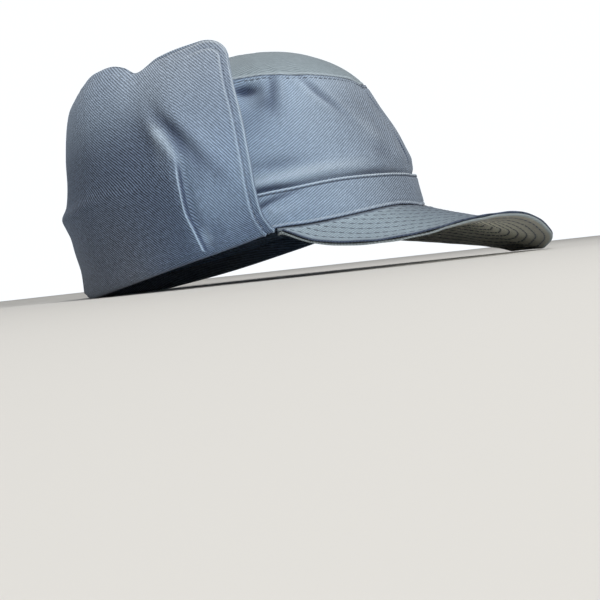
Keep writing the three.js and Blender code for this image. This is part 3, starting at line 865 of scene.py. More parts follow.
def cotton_twill(name, colour, rib_angle, spacing, rib_contrast, worn_and_lit=None):
    """Woven cotton twill: matt, with diagonal ribs, faintly blotched by washing.

    The ribs are bumps of the weave, and rubbed pale. The marks on a piece's cloth set the rest:
    its wear mark makes it paler, for real wear and painted highlights; its seam mark darker,
    for seam lines and painted shade; its bleach mark paler above 0 and deeper in its dye below
    0, for sun fading and for painted light and shade; and its blue mark bluer above 0 and
    greyer below 0, a painted tint that is bluer in shade and greyer in light.
    """
    material = bpy.data.materials.new(name)
    material.use_nodes = True
    tree = material.node_tree
    tree.nodes.clear()
    cloth_map = add_node(tree, "ShaderNodeUVMap", {"uv_map": "UVMap"})
    turned = add_node(
        tree,
        "ShaderNodeMapping",
        values={"Rotation": (0, 0, math.radians(90 - rib_angle))},
        links={"Vector": cloth_map.outputs["UV"]},
    )
    # Blender's bands repeat 20 / (2 pi) times a unit at scale 1
    per_band = 2 * math.pi / 20
    drawn_out = add_node(
        tree,
        "ShaderNodeMapping",
        values={"Scale": (1.0, 0.4, 1.0)},
        links={"Vector": turned.outputs["Vector"]},
    )
    slubs = add_node(
        tree,
        "ShaderNodeTexNoise",
        values={"Scale": 0.9 / spacing, "Detail": 3.0, "Roughness": 0.75},
        links={"Vector": drawn_out.outputs["Vector"]},
    )
    rib = add_node(
        tree,
        "ShaderNodeTexWave",
        {"bands_direction": "X", "wave_profile": "SIN"},
        {"Scale": per_band / spacing, "Distortion": 1.3, "Detail": 2.0, "Detail Scale": 1.2},
        {"Vector": turned.outputs["Vector"]},
    )
    thread = add_node(
        tree,
        "ShaderNodeTexWave",
        {"bands_direction": "Y", "wave_profile": "SIN"},
        {"Scale": per_band / (spacing * 0.8), "Distortion": 1.2, "Detail": 1.0},
        {"Vector": turned.outputs["Vector"]},
    )
    floats = add_node(
        tree,
        "ShaderNodeMapRange",
        values={"To Min": 0.72, "To Max": 1.0},
        links={"Value": thread.outputs["Fac"]},
    )
    weave = add_node(
        tree,
        "ShaderNodeMath",
        {"operation": "MULTIPLY"},
        links={0: rib.outputs["Fac"], 1: floats.outputs["Result"]},
    )
    place = add_node(tree, "ShaderNodeTexCoord")
    blotches = add_node(
        tree,
        "ShaderNodeTexNoise",
        values={"Scale": BLOTCHES_A_METRE, "Detail": 3.0, "Roughness": 0.55},
        links={"Vector": place.outputs["Object"]},
    )
    faded = add_node(
        tree,
        "ShaderNodeMix",
        {"data_type": "RGBA"},
        {6: washed(colour, -0.2), 7: washed(colour, 0.12)},
        {0: blotches.outputs["Fac"]},
    )
    uneven = add_node(
        tree,
        "ShaderNodeMapRange",
        values={
            "From Min": 0.3,
            "From Max": 0.7,
            "To Min": 1 - rib_contrast * 0.6,
            "To Max": 1 + rib_contrast * 0.3,
        },
        links={"Value": slubs.outputs["Fac"]},
    )
    ribbed = add_node(
        tree,
        "ShaderNodeMapRange",
        values={"To Min": 1 - rib_contrast, "To Max": 1 + rib_contrast},
        links={"Value": weave.outputs[0]},
    )
    tone = add_node(
        tree,
        "ShaderNodeMath",
        {"operation": "MULTIPLY"},
        links={0: uneven.outputs["Result"], 1: ribbed.outputs["Result"]},
    )
    fade_light_and_shade_mark = add_node(tree, "ShaderNodeAttribute", {"attribute_name": "fade_light_and_shade"})
    # Below 0 the cloth is darkened towards deep navy, partly for unfaded dye and partly as painted
    # shade
    depth = add_node(
        tree,
        "ShaderNodeMapRange",
        values={"From Min": -1.0, "From Max": 0.0, "To Min": 1.0, "To Max": 0.0},
        links={"Value": fade_light_and_shade_mark.outputs["Fac"]},
    )
    deep = add_node(
        tree,
        "ShaderNodeMix",
        {"data_type": "RGBA"},
        {7: washed(colour, -1.0)},
        {0: depth.outputs["Result"], 6: faded.outputs[2]},
    )
    pale = add_node(
        tree,
        "ShaderNodeMapRange",
        values={"From Min": 0.0, "From Max": 2.0, "To Min": 1.0, "To Max": 3.0},
        links={"Value": fade_light_and_shade_mark.outputs["Fac"]},
    )
    dyed = add_node(
        tree,
        "ShaderNodeVectorMath",
        {"operation": "SCALE"},
        links={0: deep.outputs[2], "Scale": pale.outputs["Result"]},
    )
    wear_and_highlight = add_node(tree, "ShaderNodeAttribute", {"attribute_name": "wear_and_highlight"})
    paled = add_node(
        tree,
        "ShaderNodeMix",
        {"data_type": "RGBA"},
        {7: (*worn_and_lit, 1.0) if worn_and_lit else washed(colour, 0.6)},
        {0: wear_and_highlight.outputs["Fac"], 6: dyed.outputs[0]},
    )
    seam_and_shade = add_node(tree, "ShaderNodeAttribute", {"attribute_name": "seam_and_shade"})
    darkened = add_node(
        tree,
        "ShaderNodeMix",
        {"data_type": "RGBA"},
        {7: washed(colour, -0.85)},
        {0: seam_and_shade.outputs["Fac"], 6: paled.outputs[2]},
    )
    # Ribs rubbed pale stand out more where the cloth is darkened below 0, by deep dye and painted shade
    gain = add_node(
        tree,
        "ShaderNodeMapRange",
        values={"From Min": -1.0, "From Max": 0.0, "To Min": 2.6, "To Max": 1.0},
        links={"Value": fade_light_and_shade_mark.outputs["Fac"]},
    )
    over = add_node(
        tree,
        "ShaderNodeMath",
        {"operation": "SUBTRACT"},
        {1: 1.0},
        {0: tone.outputs[0]},
    )
    smoothed = add_node(
        tree,
        "ShaderNodeMapRange",
        values={"To Min": 1.0, "To Max": 0.25},
        links={"Value": wear_and_highlight.outputs["Fac"]},
    )
    kept = add_node(
        tree,
        "ShaderNodeMath",
        {"operation": "MULTIPLY"},
        links={0: gain.outputs["Result"], 1: smoothed.outputs["Result"]},
    )
    rubbed = add_node(
        tree,
        "ShaderNodeMath",
        {"operation": "MULTIPLY_ADD"},
        {2: 1.0},
        {0: over.outputs[0], 1: kept.outputs[0]},
    )
    woven = add_node(
        tree,
        "ShaderNodeVectorMath",
        {"operation": "SCALE"},
        links={0: darkened.outputs[2], "Scale": rubbed.outputs[0]},
    )
    # The blue mark gives back less red and more blue above 0, and the reverse below 0: a painted tint,
    # bluer in shade and greyer in light
    blueness = add_node(tree, "ShaderNodeAttribute", {"attribute_name": "blue"})
    red, blue = (
        add_node(
            tree,
            "ShaderNodeMath",
            {"operation": "MULTIPLY_ADD"},
            {1: share, 2: 1.0},
            {0: blueness.outputs["Fac"]},
        )
        for share in (-0.5, 0.5)
    )
    tint = add_node(
        tree,
        "ShaderNodeCombineXYZ",
        values={"Y": 1.0},
        links={"X": red.outputs[0], "Z": blue.outputs[0]},
    )
    tinted = add_node(
        tree,
        "ShaderNodeVectorMath",
        {"operation": "MULTIPLY"},
        links={0: woven.outputs[0], 1: tint.outputs["Vector"]},
    )
    relief = add_node(
        tree,
        "ShaderNodeBump",
        values={"Strength": 0.8, "Distance": 0.3 * MM},
        links={"Height": weave.outputs[0]},
    )
    shader = add_node(
        tree,
        "ShaderNodeBsdfPrincipled",
        values={"Roughness": 0.88, "IOR": 1.45, "Sheen Weight": 0.12, "Sheen Roughness": 0.5},
        links={"Base Color": tinted.outputs[0], "Normal": relief.outputs["Normal"]},
    )
    shader.inputs["Specular IOR Level"].default_value = 0.25
    add_node(
        tree,
        "ShaderNodeOutputMaterial",
        links={"Surface": shader.outputs["BSDF"]},
    )
    return material


def cotton_thread(name, colour):
    """Twisted cotton sewing thread: matt, with a faint twist."""
    material = bpy.data.materials.new(name)
    material.use_nodes = True
    tree = material.node_tree
    tree.nodes.clear()
    place = add_node(tree, "ShaderNodeTexCoord")
    fibre = add_node(
        tree,
        "ShaderNodeTexNoise",
        values={"Scale": FIBRES_A_METRE, "Detail": 2.0},
        links={"Vector": place.outputs["Object"]},
    )
    dyed = add_node(
        tree,
        "ShaderNodeMix",
        {"data_type": "RGBA"},
        {6: washed(colour, -0.2), 7: washed(colour, 0.15)},
        {0: fibre.outputs["Fac"]},
    )
    relief = add_node(
        tree,
        "ShaderNodeBump",
        values={"Strength": 0.4, "Distance": 0.1 * MM},
        links={"Height": fibre.outputs["Fac"]},
    )
    shader = add_node(
        tree,
        "ShaderNodeBsdfPrincipled",
        values={"Roughness": 0.75, "Sheen Weight": 0.1},
        links={"Base Color": dyed.outputs[2], "Normal": relief.outputs["Normal"]},
    )
    add_node(
        tree,
        "ShaderNodeOutputMaterial",
        links={"Surface": shader.outputs["BSDF"]},
    )
    return material


def cotton_for(name):
    """The material of a named cloth or thread, made when it is first asked for.

    A twill has its colour, the angle of its ribs in degrees, their spacing, how much they stand
    out, and for the underside the colour that it is worn to.
    """
    if name in bpy.data.materials:
        return bpy.data.materials[name]
    sizes = bpy.context.scene.cap_sizes
    colours = bpy.context.scene.cap_colours
    spacing = sizes.twill_spacing
    twills = {
        "crown cotton twill": (colours.crown, 29, spacing, 0.34),
        "flap cotton twill": (colours.flap, 141, spacing * 0.9, 0.4),
        "top cotton twill": (colours.top, 36, spacing, 0.24),
        "peak cotton twill": (colours.top, 36, spacing, 0.26),
        "underside cotton twill": (colours.underside, 36, spacing, 0.35, colours.top),
    }
    threads = {
        "shaded cotton thread": colours.peak_thread,
        "seam cotton thread": colours.thread,
        "flap cotton thread": colours.flap_thread,
        "peak cotton thread": colours.peak_thread,
    }
    if name in twills:
        return cotton_twill(name, *twills[name])
    return cotton_thread(name, threads[name])


# Crown


def crown_point(angle, part, offset):
    """Outer face of the crown's side wall."""
    section = section_at(CROWN_SECTIONS, part)
    plan = section_point(section, angle, 0, offset)
    lower = CROWN_LOWER_EDGE + rim_rise(angle, plan[..., 1])
    height = lower + (smooth(TOP_SEAM, "turn", turn_of(angle), "rise") - lower) * part
    out = folds_out(CROWN_FOLDS, angle, height) + folds_out(CROWN_CREASES, angle, height)
    turn = turn_of(angle)
    above = height - smooth(BAND_UPPER_EDGE, "turn", turn, "rise")
    in_sight = ramp(turn, 78, 68) * np.maximum(ramp(turn, -2, 24), 0.25)
    out = out + smooth(BAND_TUCK, "above", above, "out") * in_sight
    return section_point(section, angle, height, offset + out)


def crown_fade_and_light(angle):
    """How far the crown and band are painted paler or darker, by turn, for sun fading and painted
    shade: 0 is the plain dye.
    """
    return smooth(CROWN_FADE_AND_LIGHT, "turn", turn_of(angle), "pale") - 1


def crown_blue(angle):
    """How much bluer than the plain dye the crown and band are painted, by turn, as a tint of shade."""
    return smooth(CROWN_FADE_AND_LIGHT, "turn", turn_of(angle), "blue")


class CAP_OT_crown_sides(bpy.types.Operator):
    """Makes the two side panels of the crown, seamed at the front and back"""

    bl_idname = "cap.crown_sides"
    bl_label = "Crown sides"

    def execute(self, context):
        sizes = context.scene.cap_sizes
        half_seam = HALF_SEAM / RIM["front"]
        columns, rows = CROWN_SIDE_GRID
        parts = crowded(0, 1, rows, [(0.2, 0.06, 1.5), (1, 0.03, 4)])
        sides = {
            "crown_side_right": (math.pi - half_seam, half_seam),
            "crown_side_left": (-half_seam, half_seam - math.pi),
        }
        for side, (first, last) in sides.items():
            ends = [(first, 0.03, 4), (last, 0.03, 4)]
            angles = crowded(last, first, columns, ends)[::-1]
            angle, part = np.meshgrid(angles, parts)
            points = crown_point(angle, part, 0.0)
            turn, height = turn_of(angle), points[..., 2]
            run = along_grid(points, 1)
            rise = along_grid(points, 0)
            from_seam = np.minimum(run, run[:, -1:] - run)
            from_top = rise[-1:] - rise
            normals = grid_normals(points)
            out = rolled(from_seam, 1.3, 0.7) + rolled(from_top, 1.1, 0.1)
            out += groove(from_seam, 3.4, 0.7, 0.22)
            out += groove(from_top, 2.0, 0.6, 0.3)
            out += 0.35 * puckered(from_top) * ripples(run, rise * 0.2, seed=11, shortest=8, longest=26)
            out += 0.22 * ripples(run, rise, seed=12, shortest=18, longest=46)
            dents = -folds_out(CROWN_CREASES, angle, height)
            shade = folds_out(CROWN_SHADES, angle, height, "shade")
            # Seam lines are darkened; crease hollows and shades above 0 get painted shade, and crease
            # swellings and shades below 0 get painted highlights
            seam_and_shade = hump(from_seam, 0, 0.5) + hump(from_top, 0, 0.5)
            seam_and_shade += 0.2 * np.clip(dents - 0.3, 0, 3) + np.clip(shade, 0, 1)
            worn_and_lit = 0.2 * np.clip(-dents, 0, 1.5) + np.clip(-shade, 0, 1)
            # A painted shadow line lies just above the band, and the cloth that swells over it gets a
            # painted highlight
            above = height - smooth(BAND_UPPER_EDGE, "turn", turn, "rise")
            tall = smooth(BAND_SHADOW, "turn", turn, "height")
            seam_and_shade += smooth(BAND_SHADOW, "turn", turn, "shade") * hump(above, 0.8 * tall, tall)
            worn_and_lit += 0.75 * hump(above, 6.4, 3.2) * ramp(turn, 25, 55)
            # The front is painted paler towards the top seam, where the light falls
            fade_and_light = crown_fade_and_light(angle) + 0.22 * ramp(height, 60, 74) * ramp(turn, 52, 44)
            map_run = np.broadcast_to(run[CROWN_SIDE_MAP_ROW], run.shape)
            piece = lay_grid(
                side + "_cloth",
                points + normals * out[..., None],
                np.stack([map_run, rise], axis=-1),
                {
                    "seam_and_shade": np.clip(seam_and_shade, 0, 1),
                    "wear_and_highlight": np.clip(worn_and_lit, 0, 1),
                    "fade_light_and_shade": fade_and_light,
                    "blue": crown_blue(angle),
                },
            )
            thicken(piece, sizes.cloth, edge=0.4 * MM)
            finish(piece, cotton_for("crown cotton twill"), "twill", side)
        return {"FINISHED"}


def dome_point(angle, reach, lift):
    """Top face of the domed panel, which lies on the side walls' upper edge."""
    edge = crown_point(angle, 1.0, -0.6)
    middle = np.array([0, -DOME["forward"], DOME["rise"]])
    point = middle + (edge - middle) * reach[..., None]
    height = edge[..., 2] + (DOME["rise"] - edge[..., 2]) * (1 - reach ** DOME["power"]) + lift
    return np.concatenate([point[..., :2], height[..., None]], axis=-1)


class CAP_OT_crown_top(bpy.types.Operator):
    """Makes the domed top panel and the stitching round its seam"""

    bl_idname = "cap.crown_top"
    bl_label = "Crown top"

    def execute(self, context):
        sizes = context.scene.cap_sizes
        columns, rows = CROWN_TOP_GRID
        angles = np.linspace(math.pi, -math.pi, columns + 1)
        reaches = 1 - crowded(0, 1, rows, [(0, 0.05, 6)])
        angle, reach = np.meshgrid(angles, reaches)
        # The seam's edge is drawn down beside the side walls' own edge
        points = dome_point(angle, reach, 0.35 + 1.45 * (1 - np.exp(-(1 - reach) * 14)))
        run = along_grid(points, 1)
        rise = along_grid(points, 0)
        out = rolled(rise, 2.0, 0.9) + groove(rise, 2.6, 0.5, 0.2)
        u, v = points[..., 0], points[..., 1]
        out += 0.3 * puckered(rise) * ripples(run[0], rise * 0.2, seed=21, shortest=8, longest=26)
        out += 0.25 * ripples(u, v, seed=22, shortest=24, longest=60)
        normals = grid_normals(points, closed=True)
        # Nothing is pushed out at the middle, where all the columns meet
        out *= np.clip(reach * 6, 0, 1)
        # The seam's groove is painted dark, and the curled edge of the top just above it gets a painted
        # highlight
        piece = lay_grid(
            "crown_top_cloth",
            points + normals * out[..., None],
            np.stack([-v, u], axis=-1),
            {"seam_and_shade": 0.5 * hump(rise, 0, 0.4), "wear_and_highlight": 0.5 * hump(rise, 1.2, 0.7)},
            closed=True,
        )
        thicken(piece, sizes.cloth, edge=0.4 * MM)
        finish(piece, cotton_for("top cotton twill"), "top_twill", "crown_top")
        # Stitches sink into the side wall just under the seam
        turns = np.linspace(math.pi, -math.pi, 900)
        line = crown_point(turns, 0.975, 0.0)
        below = crown_point(turns, 0.93, 0.0)
        outward = np.cross(np.gradient(line, axis=0), line - below)
        outward /= np.linalg.norm(outward, axis=1, keepdims=True)
        sunk = line - outward * STITCH_SINK
        length = sizes.stitch / MM
        stitches = sew("top_seam_stitches", [(sunk, outward)], length, gap=1.1, width=0.55, height=0.5)
        finish(stitches, cotton_for("shaded cotton thread"), "twill")
        return {"FINISHED"}


# Head band


class CAP_OT_head_band(bpy.types.Operator):
    """Makes the head band with its folded upper edge and two rows of stitching"""

    bl_idname = "cap.head_band"
    bl_label = "Head band"

    def execute(self, context):
        sizes = context.scene.cap_sizes
        columns, rows = HEAD_BAND_GRID
        angles = np.linspace(math.pi, -math.pi, columns + 1)
        parts = crowded(0, 1, rows, [(0, 0.1, 2), (1, 0.12, 4)])
        angle, part = np.meshgrid(angles, parts)
        plan = section_point(RIM, angle, 0, BAND_OFFSET)
        lower = BAND_LOWER_EDGE + rim_rise(angle, plan[..., 1])
        upper = smooth(BAND_UPPER_EDGE, "turn", turn_of(angle), "rise")
        points = section_point(RIM, angle, lower + (upper - lower) * part, BAND_OFFSET)
        run = along_grid(points, 1)
        rise = along_grid(points, 0)
        from_top = rise[-1:] - rise
        out = groove(from_top, BAND_STITCH_LINE, 0.45, 0.5) + rolled(from_top, 0.7, 0.4)
        out += groove(rise, BAND_STITCH_LINE, 0.5, 0.35)
        creased = folds_out(BAND_CREASES, angle, points[..., 2])
        out += 0.16 * ripples(run, rise, seed=31, shortest=9, longest=30) + creased
        normals = grid_normals(points, closed=True)
        points = points + normals * out[..., None]
        # Painted highlights on the folded top edge, the lower hem and the creases' ridges; painted
        # shade at the top stitching, along the lower edge where the peak meets it, and in the creases'
        # hollows
        worn_and_lit = 0.9 * hump(from_top, 0.35, 0.45) + 0.5 * hump(rise, 1.2, 0.7)
        worn_and_lit += 0.3 * np.clip(creased, 0, 1)
        seam_and_shade = 0.8 * hump(from_top, 1.6, 0.5) + hump(rise, 0, 0.6)
        seam_and_shade += 1.1 * np.clip(-creased - 0.1, 0, 1)
        piece = lay_grid(
            "head_band_cloth",
            points,
            np.stack([run, rise], axis=-1),
            {
                "seam_and_shade": np.clip(seam_and_shade, 0, 1),
                "wear_and_highlight": worn_and_lit,
                "fade_light_and_shade": crown_fade_and_light(angle),
                "blue": crown_blue(angle),
            },
            closed=True,
        )
        thicken(piece, sizes.cloth, edge=0.55 * MM)
        finish(piece, cotton_for("crown cotton twill"), "twill", "head_band")
        places = np.linspace(0, columns, 1200)
        for name, distance, thread in (
            ("head_band_top_stitches", from_top, "shaded cotton thread"),
            ("head_band_stitches", rise, "seam cotton thread"),
        ):
            order = np.argsort(distance[:, 0])
            row = np.interp(BAND_STITCH_LINE, distance[order, 0], order.astype(float))
            line, outward = on_grid(points, normals, places, np.full_like(places, row))
            length = sizes.stitch / MM
            stitches = sew(name, [(line, outward)], length, gap=0.9, width=0.55, height=0.5)
            finish(stitches, cotton_for(thread), "twill")
        return {"FINISHED"}


# Ear flap


def flap_edge_angle(part):
    """Angle from the centre front at which the flap's front edge stands."""
    forward = smooth(FLAP_FRONT_EDGE, "part", part, "forward")
    front = smooth(FLAP_SECTIONS, "part", part, "front")
    return np.arccos((forward / front) ** (PLAN_POWER / 2))


def flap_angle(across, part):
    """Angle of a place on the flap: across runs from -1 at its left edge to 1 at its right."""
    return math.pi - across * (math.pi - flap_edge_angle(part))


def flap_rise(across):
    """Height of the flap's top edge, with its rounded front corners."""
    level = smooth(FLAP_TOP, "turn", turn_of(flap_angle(across, 1.0)), "rise")
    sweep = (math.pi - flap_edge_angle(1.0)) * RIM["side"]
    in_corner = np.maximum(0, FLAP_CORNER_RADIUS - (1 - np.abs(across)) * sweep)
    rounded = np.sqrt(np.maximum(FLAP_CORNER_RADIUS**2 - in_corner**2, 0))
    return level - FLAP_CORNER_RADIUS + rounded


def behind_pleat(angle, height, side):
    """Distance behind the lip of the pleat on one side, in mm of cloth."""
    line = smooth(PLEAT_LINE, "rise", height, "turn")
    apart = (side * np.degrees(angle) + 180) % 360 - 180 - line
    return np.radians(apart) * RIM["front"]


def pleat(angle, height):
    """How far the pleats stand out: a lip that falls off short in front and long behind."""
    out = np.zeros(np.broadcast(angle, height).shape)
    width = smooth(PLEAT_LIP, "rise", height, "width")
    amount = smooth(PLEAT_LIP, "rise", height, "out")
    for side, share in PLEAT_SIDES:
        behind = behind_pleat(angle, height, side)
        lip = 1 / (1 + np.exp(-np.clip(behind / (width * 0.35), -40, 40)))
        tail = np.exp(-np.maximum(behind, 0) / PLEAT_FADE)
        hollow = hump(behind, -2.4, 2.2)
        out = out + share * amount * (lip * tail - 0.35 * hollow)
    return out


def pleat_lean(angle, height):
    """How far forward the pleats' lips lean over the cloth in front of them, in radians."""
    amount = smooth(PLEAT_LIP, "rise", height, "out")
    lean = np.zeros(np.broadcast(angle, height).shape)
    for side, share in PLEAT_SIDES:
        over = hump(behind_pleat(angle, height, side), 0.9, 1.1)
        lean = lean + side * share * amount * 0.2 * over / RIM["front"]
    return lean


def pleat_marks(angle, height):
    """Painted highlights on the pleats' lips, and the painted line of shade just in front of them."""
    lip = np.zeros(np.broadcast(angle, height).shape)
    line = np.zeros_like(lip)
    drawn = ramp(height, 52, 44) * ramp(height, -4, 2)
    for side, share in PLEAT_SIDES:
        behind = behind_pleat(angle, height, side)
        lip = lip + share * drawn * hump(behind, 0.45, 0.3)
        line = line + share * drawn * hump(behind, -0.5, 0.5)
    return lip, line


def flap_point(across, part, inset, raised=0.0):
    """Outer face of the flap's upright part, set in by an inset."""
    angle = flap_angle(across, part)
    section = section_at(FLAP_SECTIONS, part)
    plan = section_point(section, angle, 0, 0)
    low = rim_rise(angle, plan[..., 1])
    height = low + (flap_rise(across) + raised - low) * part
    out = folds_out(FLAP_FOLDS, angle, height) + pleat(angle, height)
    return section_point(section, angle - pleat_lean(angle, height), height, out - inset)


def flap_fade_and_light(angle, height):
    """How far the flap is painted paler or darker at a place, for sun fading and for painted light and
    shade: 0 is the plain dye.
    """
    columns = ("front", "behind", "back")
    front, behind, back = (smooth(FLAP_FADE_AND_LIGHT, "rise", height, column) for column in columns)
    past = np.degrees(angle)
    to_back = ramp(past, 128, 158)
    from_front = ramp(past, 88, 93) * ramp(past, 282, 260)
    return front * (1 - from_front) + from_front * (behind * (1 - to_back) + back * to_back) - 1


def flap_blue(angle, height):
    """How much bluer than the plain dye the flap is painted at a place, as a tint of shade."""
    side, rear = (smooth(FLAP_BLUE, "rise", height, column) for column in ("side", "rear"))
    past = np.degrees(angle)
    to_rear = ramp(np.minimum(past, 360 - past), 92, 114)
    return side + (rear - side) * to_rear


def fanned(run, rise):
    """Where the flap's cloth lay when it was cut: a strip that curves like a fan."""
    swing = (run - run.mean()) / FLAP_CUT_RADIUS
    inner = FLAP_CUT_RADIUS - rise
    return np.stack([inner * np.sin(swing), FLAP_CUT_RADIUS - inner * np.cos(swing)], axis=-1)


def fold_point(across, offset, rise):
    """The roll of the flap round the rim."""
    angle = flap_angle(across, 0.0)
    point = section_point(RIM, angle, 0, offset)
    point[..., 2] = rise + rim_rise(angle, point[..., 1])
    return point


class CAP_OT_ear_flap(bpy.types.Operator):
    """Makes the flap's outer cloth, rolled round the rim and folded up, with its hem"""

    bl_idname = "cap.ear_flap"
    bl_label = "Ear flap"

    def execute(self, context):
        sizes = context.scene.cap_sizes
        hem = sizes.hem / MM
        columns, rows = FLAP_GRID
        across = crowded(-1, 1, columns, FLAP_ACROSS_SPOTS)
        parts = crowded(0.03, 1, rows, [(1, 0.05, 2.5), (0.03, 0.03, 1)])
        a, part = np.meshgrid(across, parts)
        wall = flap_point(a, part, 0.0)
        roll = along_roll(FOLD_ROLL, FLAP_ROLL_CELLS, fold_point, across)
        points = np.concatenate([roll, wall], axis=0)
        run = along_grid(points, 1)
        rise = along_grid(points, 0)
        middle = np.broadcast_to(run[FLAP_MAP_ROW], run.shape)
        from_edge = from_open_edges(points)
        normals = grid_normals(points)
        # The hem shows along the flap's front edges, and is pressed flat along its top
        from_front = np.minimum(middle, middle.max() - middle)
        shown = np.exp(-((from_front / 26) ** 4))
        relief = groove(from_edge, hem, 0.5, 0.65) - groove(from_edge, hem + 1.2, 0.7, 0.35)
        relief += groove(from_edge, hem / 2 + 0.3, 1.1, 0.35)
        out = rolled(from_edge, 1.2, 0.7) + (0.2 + 0.8 * shown) * relief
        pucker = hump(from_edge, hem, 3.5)
        out += 0.14 * pucker * ripples(middle + rise, middle - rise, seed=41, shortest=7, longest=16)
        upright = ramp(rise - rise[len(roll)], 0, 20)
        out += 0.3 * upright * ripples(middle, rise, seed=42, shortest=20, longest=60)
        points = points + normals * out[..., None]
        fade_light_and_shade, blue, shade, lip, line = self.wall_marks(flap_angle(a, part), wall[..., 2], len(roll))
        # Painted shade in the hem's groove, along the strip inside the edge, at the cut edge, on the
        # line before each pleat's lip and where the shades are above 0; painted highlights on the
        # rolled edge, the ridge beside the stitching, the pleats' lips and where the shades are below 0
        seam_and_shade = 0.7 * hump(from_edge, hem, 0.4) * shown + hump(from_edge, 0, 0.35)
        seam_and_shade += 0.3 * hump(from_edge, hem / 2 + 0.4, 1.0) * shown
        seam_and_shade += 1.4 * line + np.clip(shade, 0, 1)
        worn_and_lit = 0.9 * hump(from_edge, 0.9, 0.5) * (0.25 + 0.75 * shown)
        worn_and_lit += 0.6 * hump(from_edge, hem + 1.1, 0.5) * shown
        worn_and_lit += 0.95 * lip + np.clip(-shade, 0, 1)
        piece = lay_grid(
            "ear_flap_cloth",
            points,
            fanned(middle, rise),
            {
                "seam_and_shade": np.clip(seam_and_shade, 0, 1) * 0.8,
                "wear_and_highlight": np.clip(worn_and_lit, 0, 1),
                "fade_light_and_shade": fade_light_and_shade,
                "blue": blue,
            },
        )
        thicken(piece, sizes.flap_cloth, edge=0.45 * MM)
        finish(piece, cotton_for("flap cotton twill"), "flap_twill", "ear_flap")
        threads = self.hem_rows(points, normals, from_edge, hem, len(roll))
        for name, paths, thread in (
            ("ear_flap_stitches", threads[:2], "flap cotton thread"),
            ("ear_flap_top_stitches", threads[2:], "seam cotton thread"),
        ):
            stitches = sew(name, paths, sizes.stitch / MM, gap=0.9, width=0.5, height=0.45)
            finish(stitches, cotton_for(thread), "flap_twill")
        return {"FINISHED"}

    def wall_marks(self, angle, height, roll_rows):
        """Marks of the upright part, with rows added below them for the roll."""
        below = ((roll_rows, 0), (0, 0))
        fade_light_and_shade = np.pad(flap_fade_and_light(angle, height), below, mode="edge")
        blue = np.pad(flap_blue(angle, height), below, mode="edge")
        shade = np.pad(folds_out(FLAP_SHADES, angle, height, "shade"), below)
        lip, line = (np.pad(mark, below) for mark in pleat_marks(angle, height))
        return fade_light_and_shade, blue, shade, lip, line

    def hem_rows(self, points, normals, from_edge, hem, first_row):
        """Where the hem's stitches run: up one edge, down the other, and along the top."""
        rows, columns = from_edge.shape
        # Cells of the grid that hold the hem beside a front edge, and its rounded corner
        hem_cells = 40
        corner_rows, corner_columns = 12, 8
        left = []
        for row in range(first_row, rows - corner_rows):
            line = from_edge[row, : columns // 2]
            if line.max() > hem:
                column = np.interp(hem, line[:hem_cells], np.arange(hem_cells))
                left.append((float(column), float(row)))
        right = [(columns - 1 - column, row) for column, row in reversed(left)]
        top = []
        for column in range(corner_columns, columns - corner_columns):
            line = from_edge[:, column][::-1]
            deep = int(np.argmax(line > hem))
            if deep > 0:
                before, after = line[deep - 1], line[deep]
                row = rows - 1 - (deep - 1 + (hem - before) / (after - before))
                # The top row starts a little below where the edge's row ends
                if row > left[-1][1] - 2:
                    top.append((float(column), row))
        paths = [np.array(path) for path in (left, right, top)]
        return [on_grid(points, normals, path[:, 0], path[:, 1]) for path in paths]


class CAP_OT_ear_flap_facing(bpy.types.Operator):
    """Makes the flap's inner layer, which shows along its edges"""

    bl_idname = "cap.ear_flap_facing"
    bl_label = "Ear flap facing"

    def execute(self, context):
        sizes = context.scene.cap_sizes
        columns, rows = FACING_GRID
        across = crowded(-1, 1, columns, FLAP_ACROSS_SPOTS)
        parts = crowded(0.05, 1, rows, [(1, 0.05, 2.5)])
        a, part = np.meshgrid(across, parts)
        # It peeps out over the outer cloth in front of the right pleat
        peeping = 1.5 * hump(np.degrees(flap_angle(a, 1.0)), 87, 9)
        points = flap_point(a, part, 2.0, peeping)
        run = along_grid(points, 1)
        rise = along_grid(points, 0)
        from_edge = from_open_edges(points)
        out = 0.25 * hump(from_edge, 0, 1.5)
        piece = lay_grid(
            "ear_flap_facing_cloth",
            points + grid_normals(points) * out[..., None],
            fanned(np.broadcast_to(run[FACING_MAP_ROW], run.shape), rise),
            {"seam_and_shade": 0.0, "wear_and_highlight": 0.4 * hump(from_edge, 0, 0.8)},
        )
        thicken(piece, sizes.facing_cloth, edge=0.4 * MM)
        finish(piece, cotton_for("flap cotton twill"), "flap_twill", "ear_flap_facing")
        return {"FINISHED"}


# Peak


def peak_edge_point(across):
    """Outer edge of the peak's underside."""
    turn = across * PEAK_PLAN["end_turn"]
    angle = np.radians(turn)
    x = -PEAK_PLAN["side"] * np.sin(angle)
    y = -(PEAK_PLAN["middle"] + PEAK_PLAN["forward"] * np.cos(angle))
    rise = np.maximum(smooth(PEAK_EDGE, "turn", turn, "rise"), table_height(y))
    return np.stack([x, y, rise], axis=-1)


def peak_root_point(across, offset, rise):
    """The peak's root, where it is sewn to the band."""
    angle = np.radians(across * PEAK_ROOT_TURN)
    point = section_point(RIM, angle, 0, offset)
    point[..., 2] = rise + rim_rise(angle, point[..., 1])
    return point


def peak_point(across, reach):
    """Underside of the peak, from its root to its outer edge."""
    root = peak_root_point(across, PEAK_ROOT_OFFSET, PEAK_ROOT_RISE)
    point = root + (peak_edge_point(across) - root) * reach[..., None]
    sag = smooth(PEAK_SAG, "turn", across * PEAK_PLAN["end_turn"], "sag")
    point[..., 2] -= sag * SAG_SCALE * reach**2 * (1 - reach)
    return point


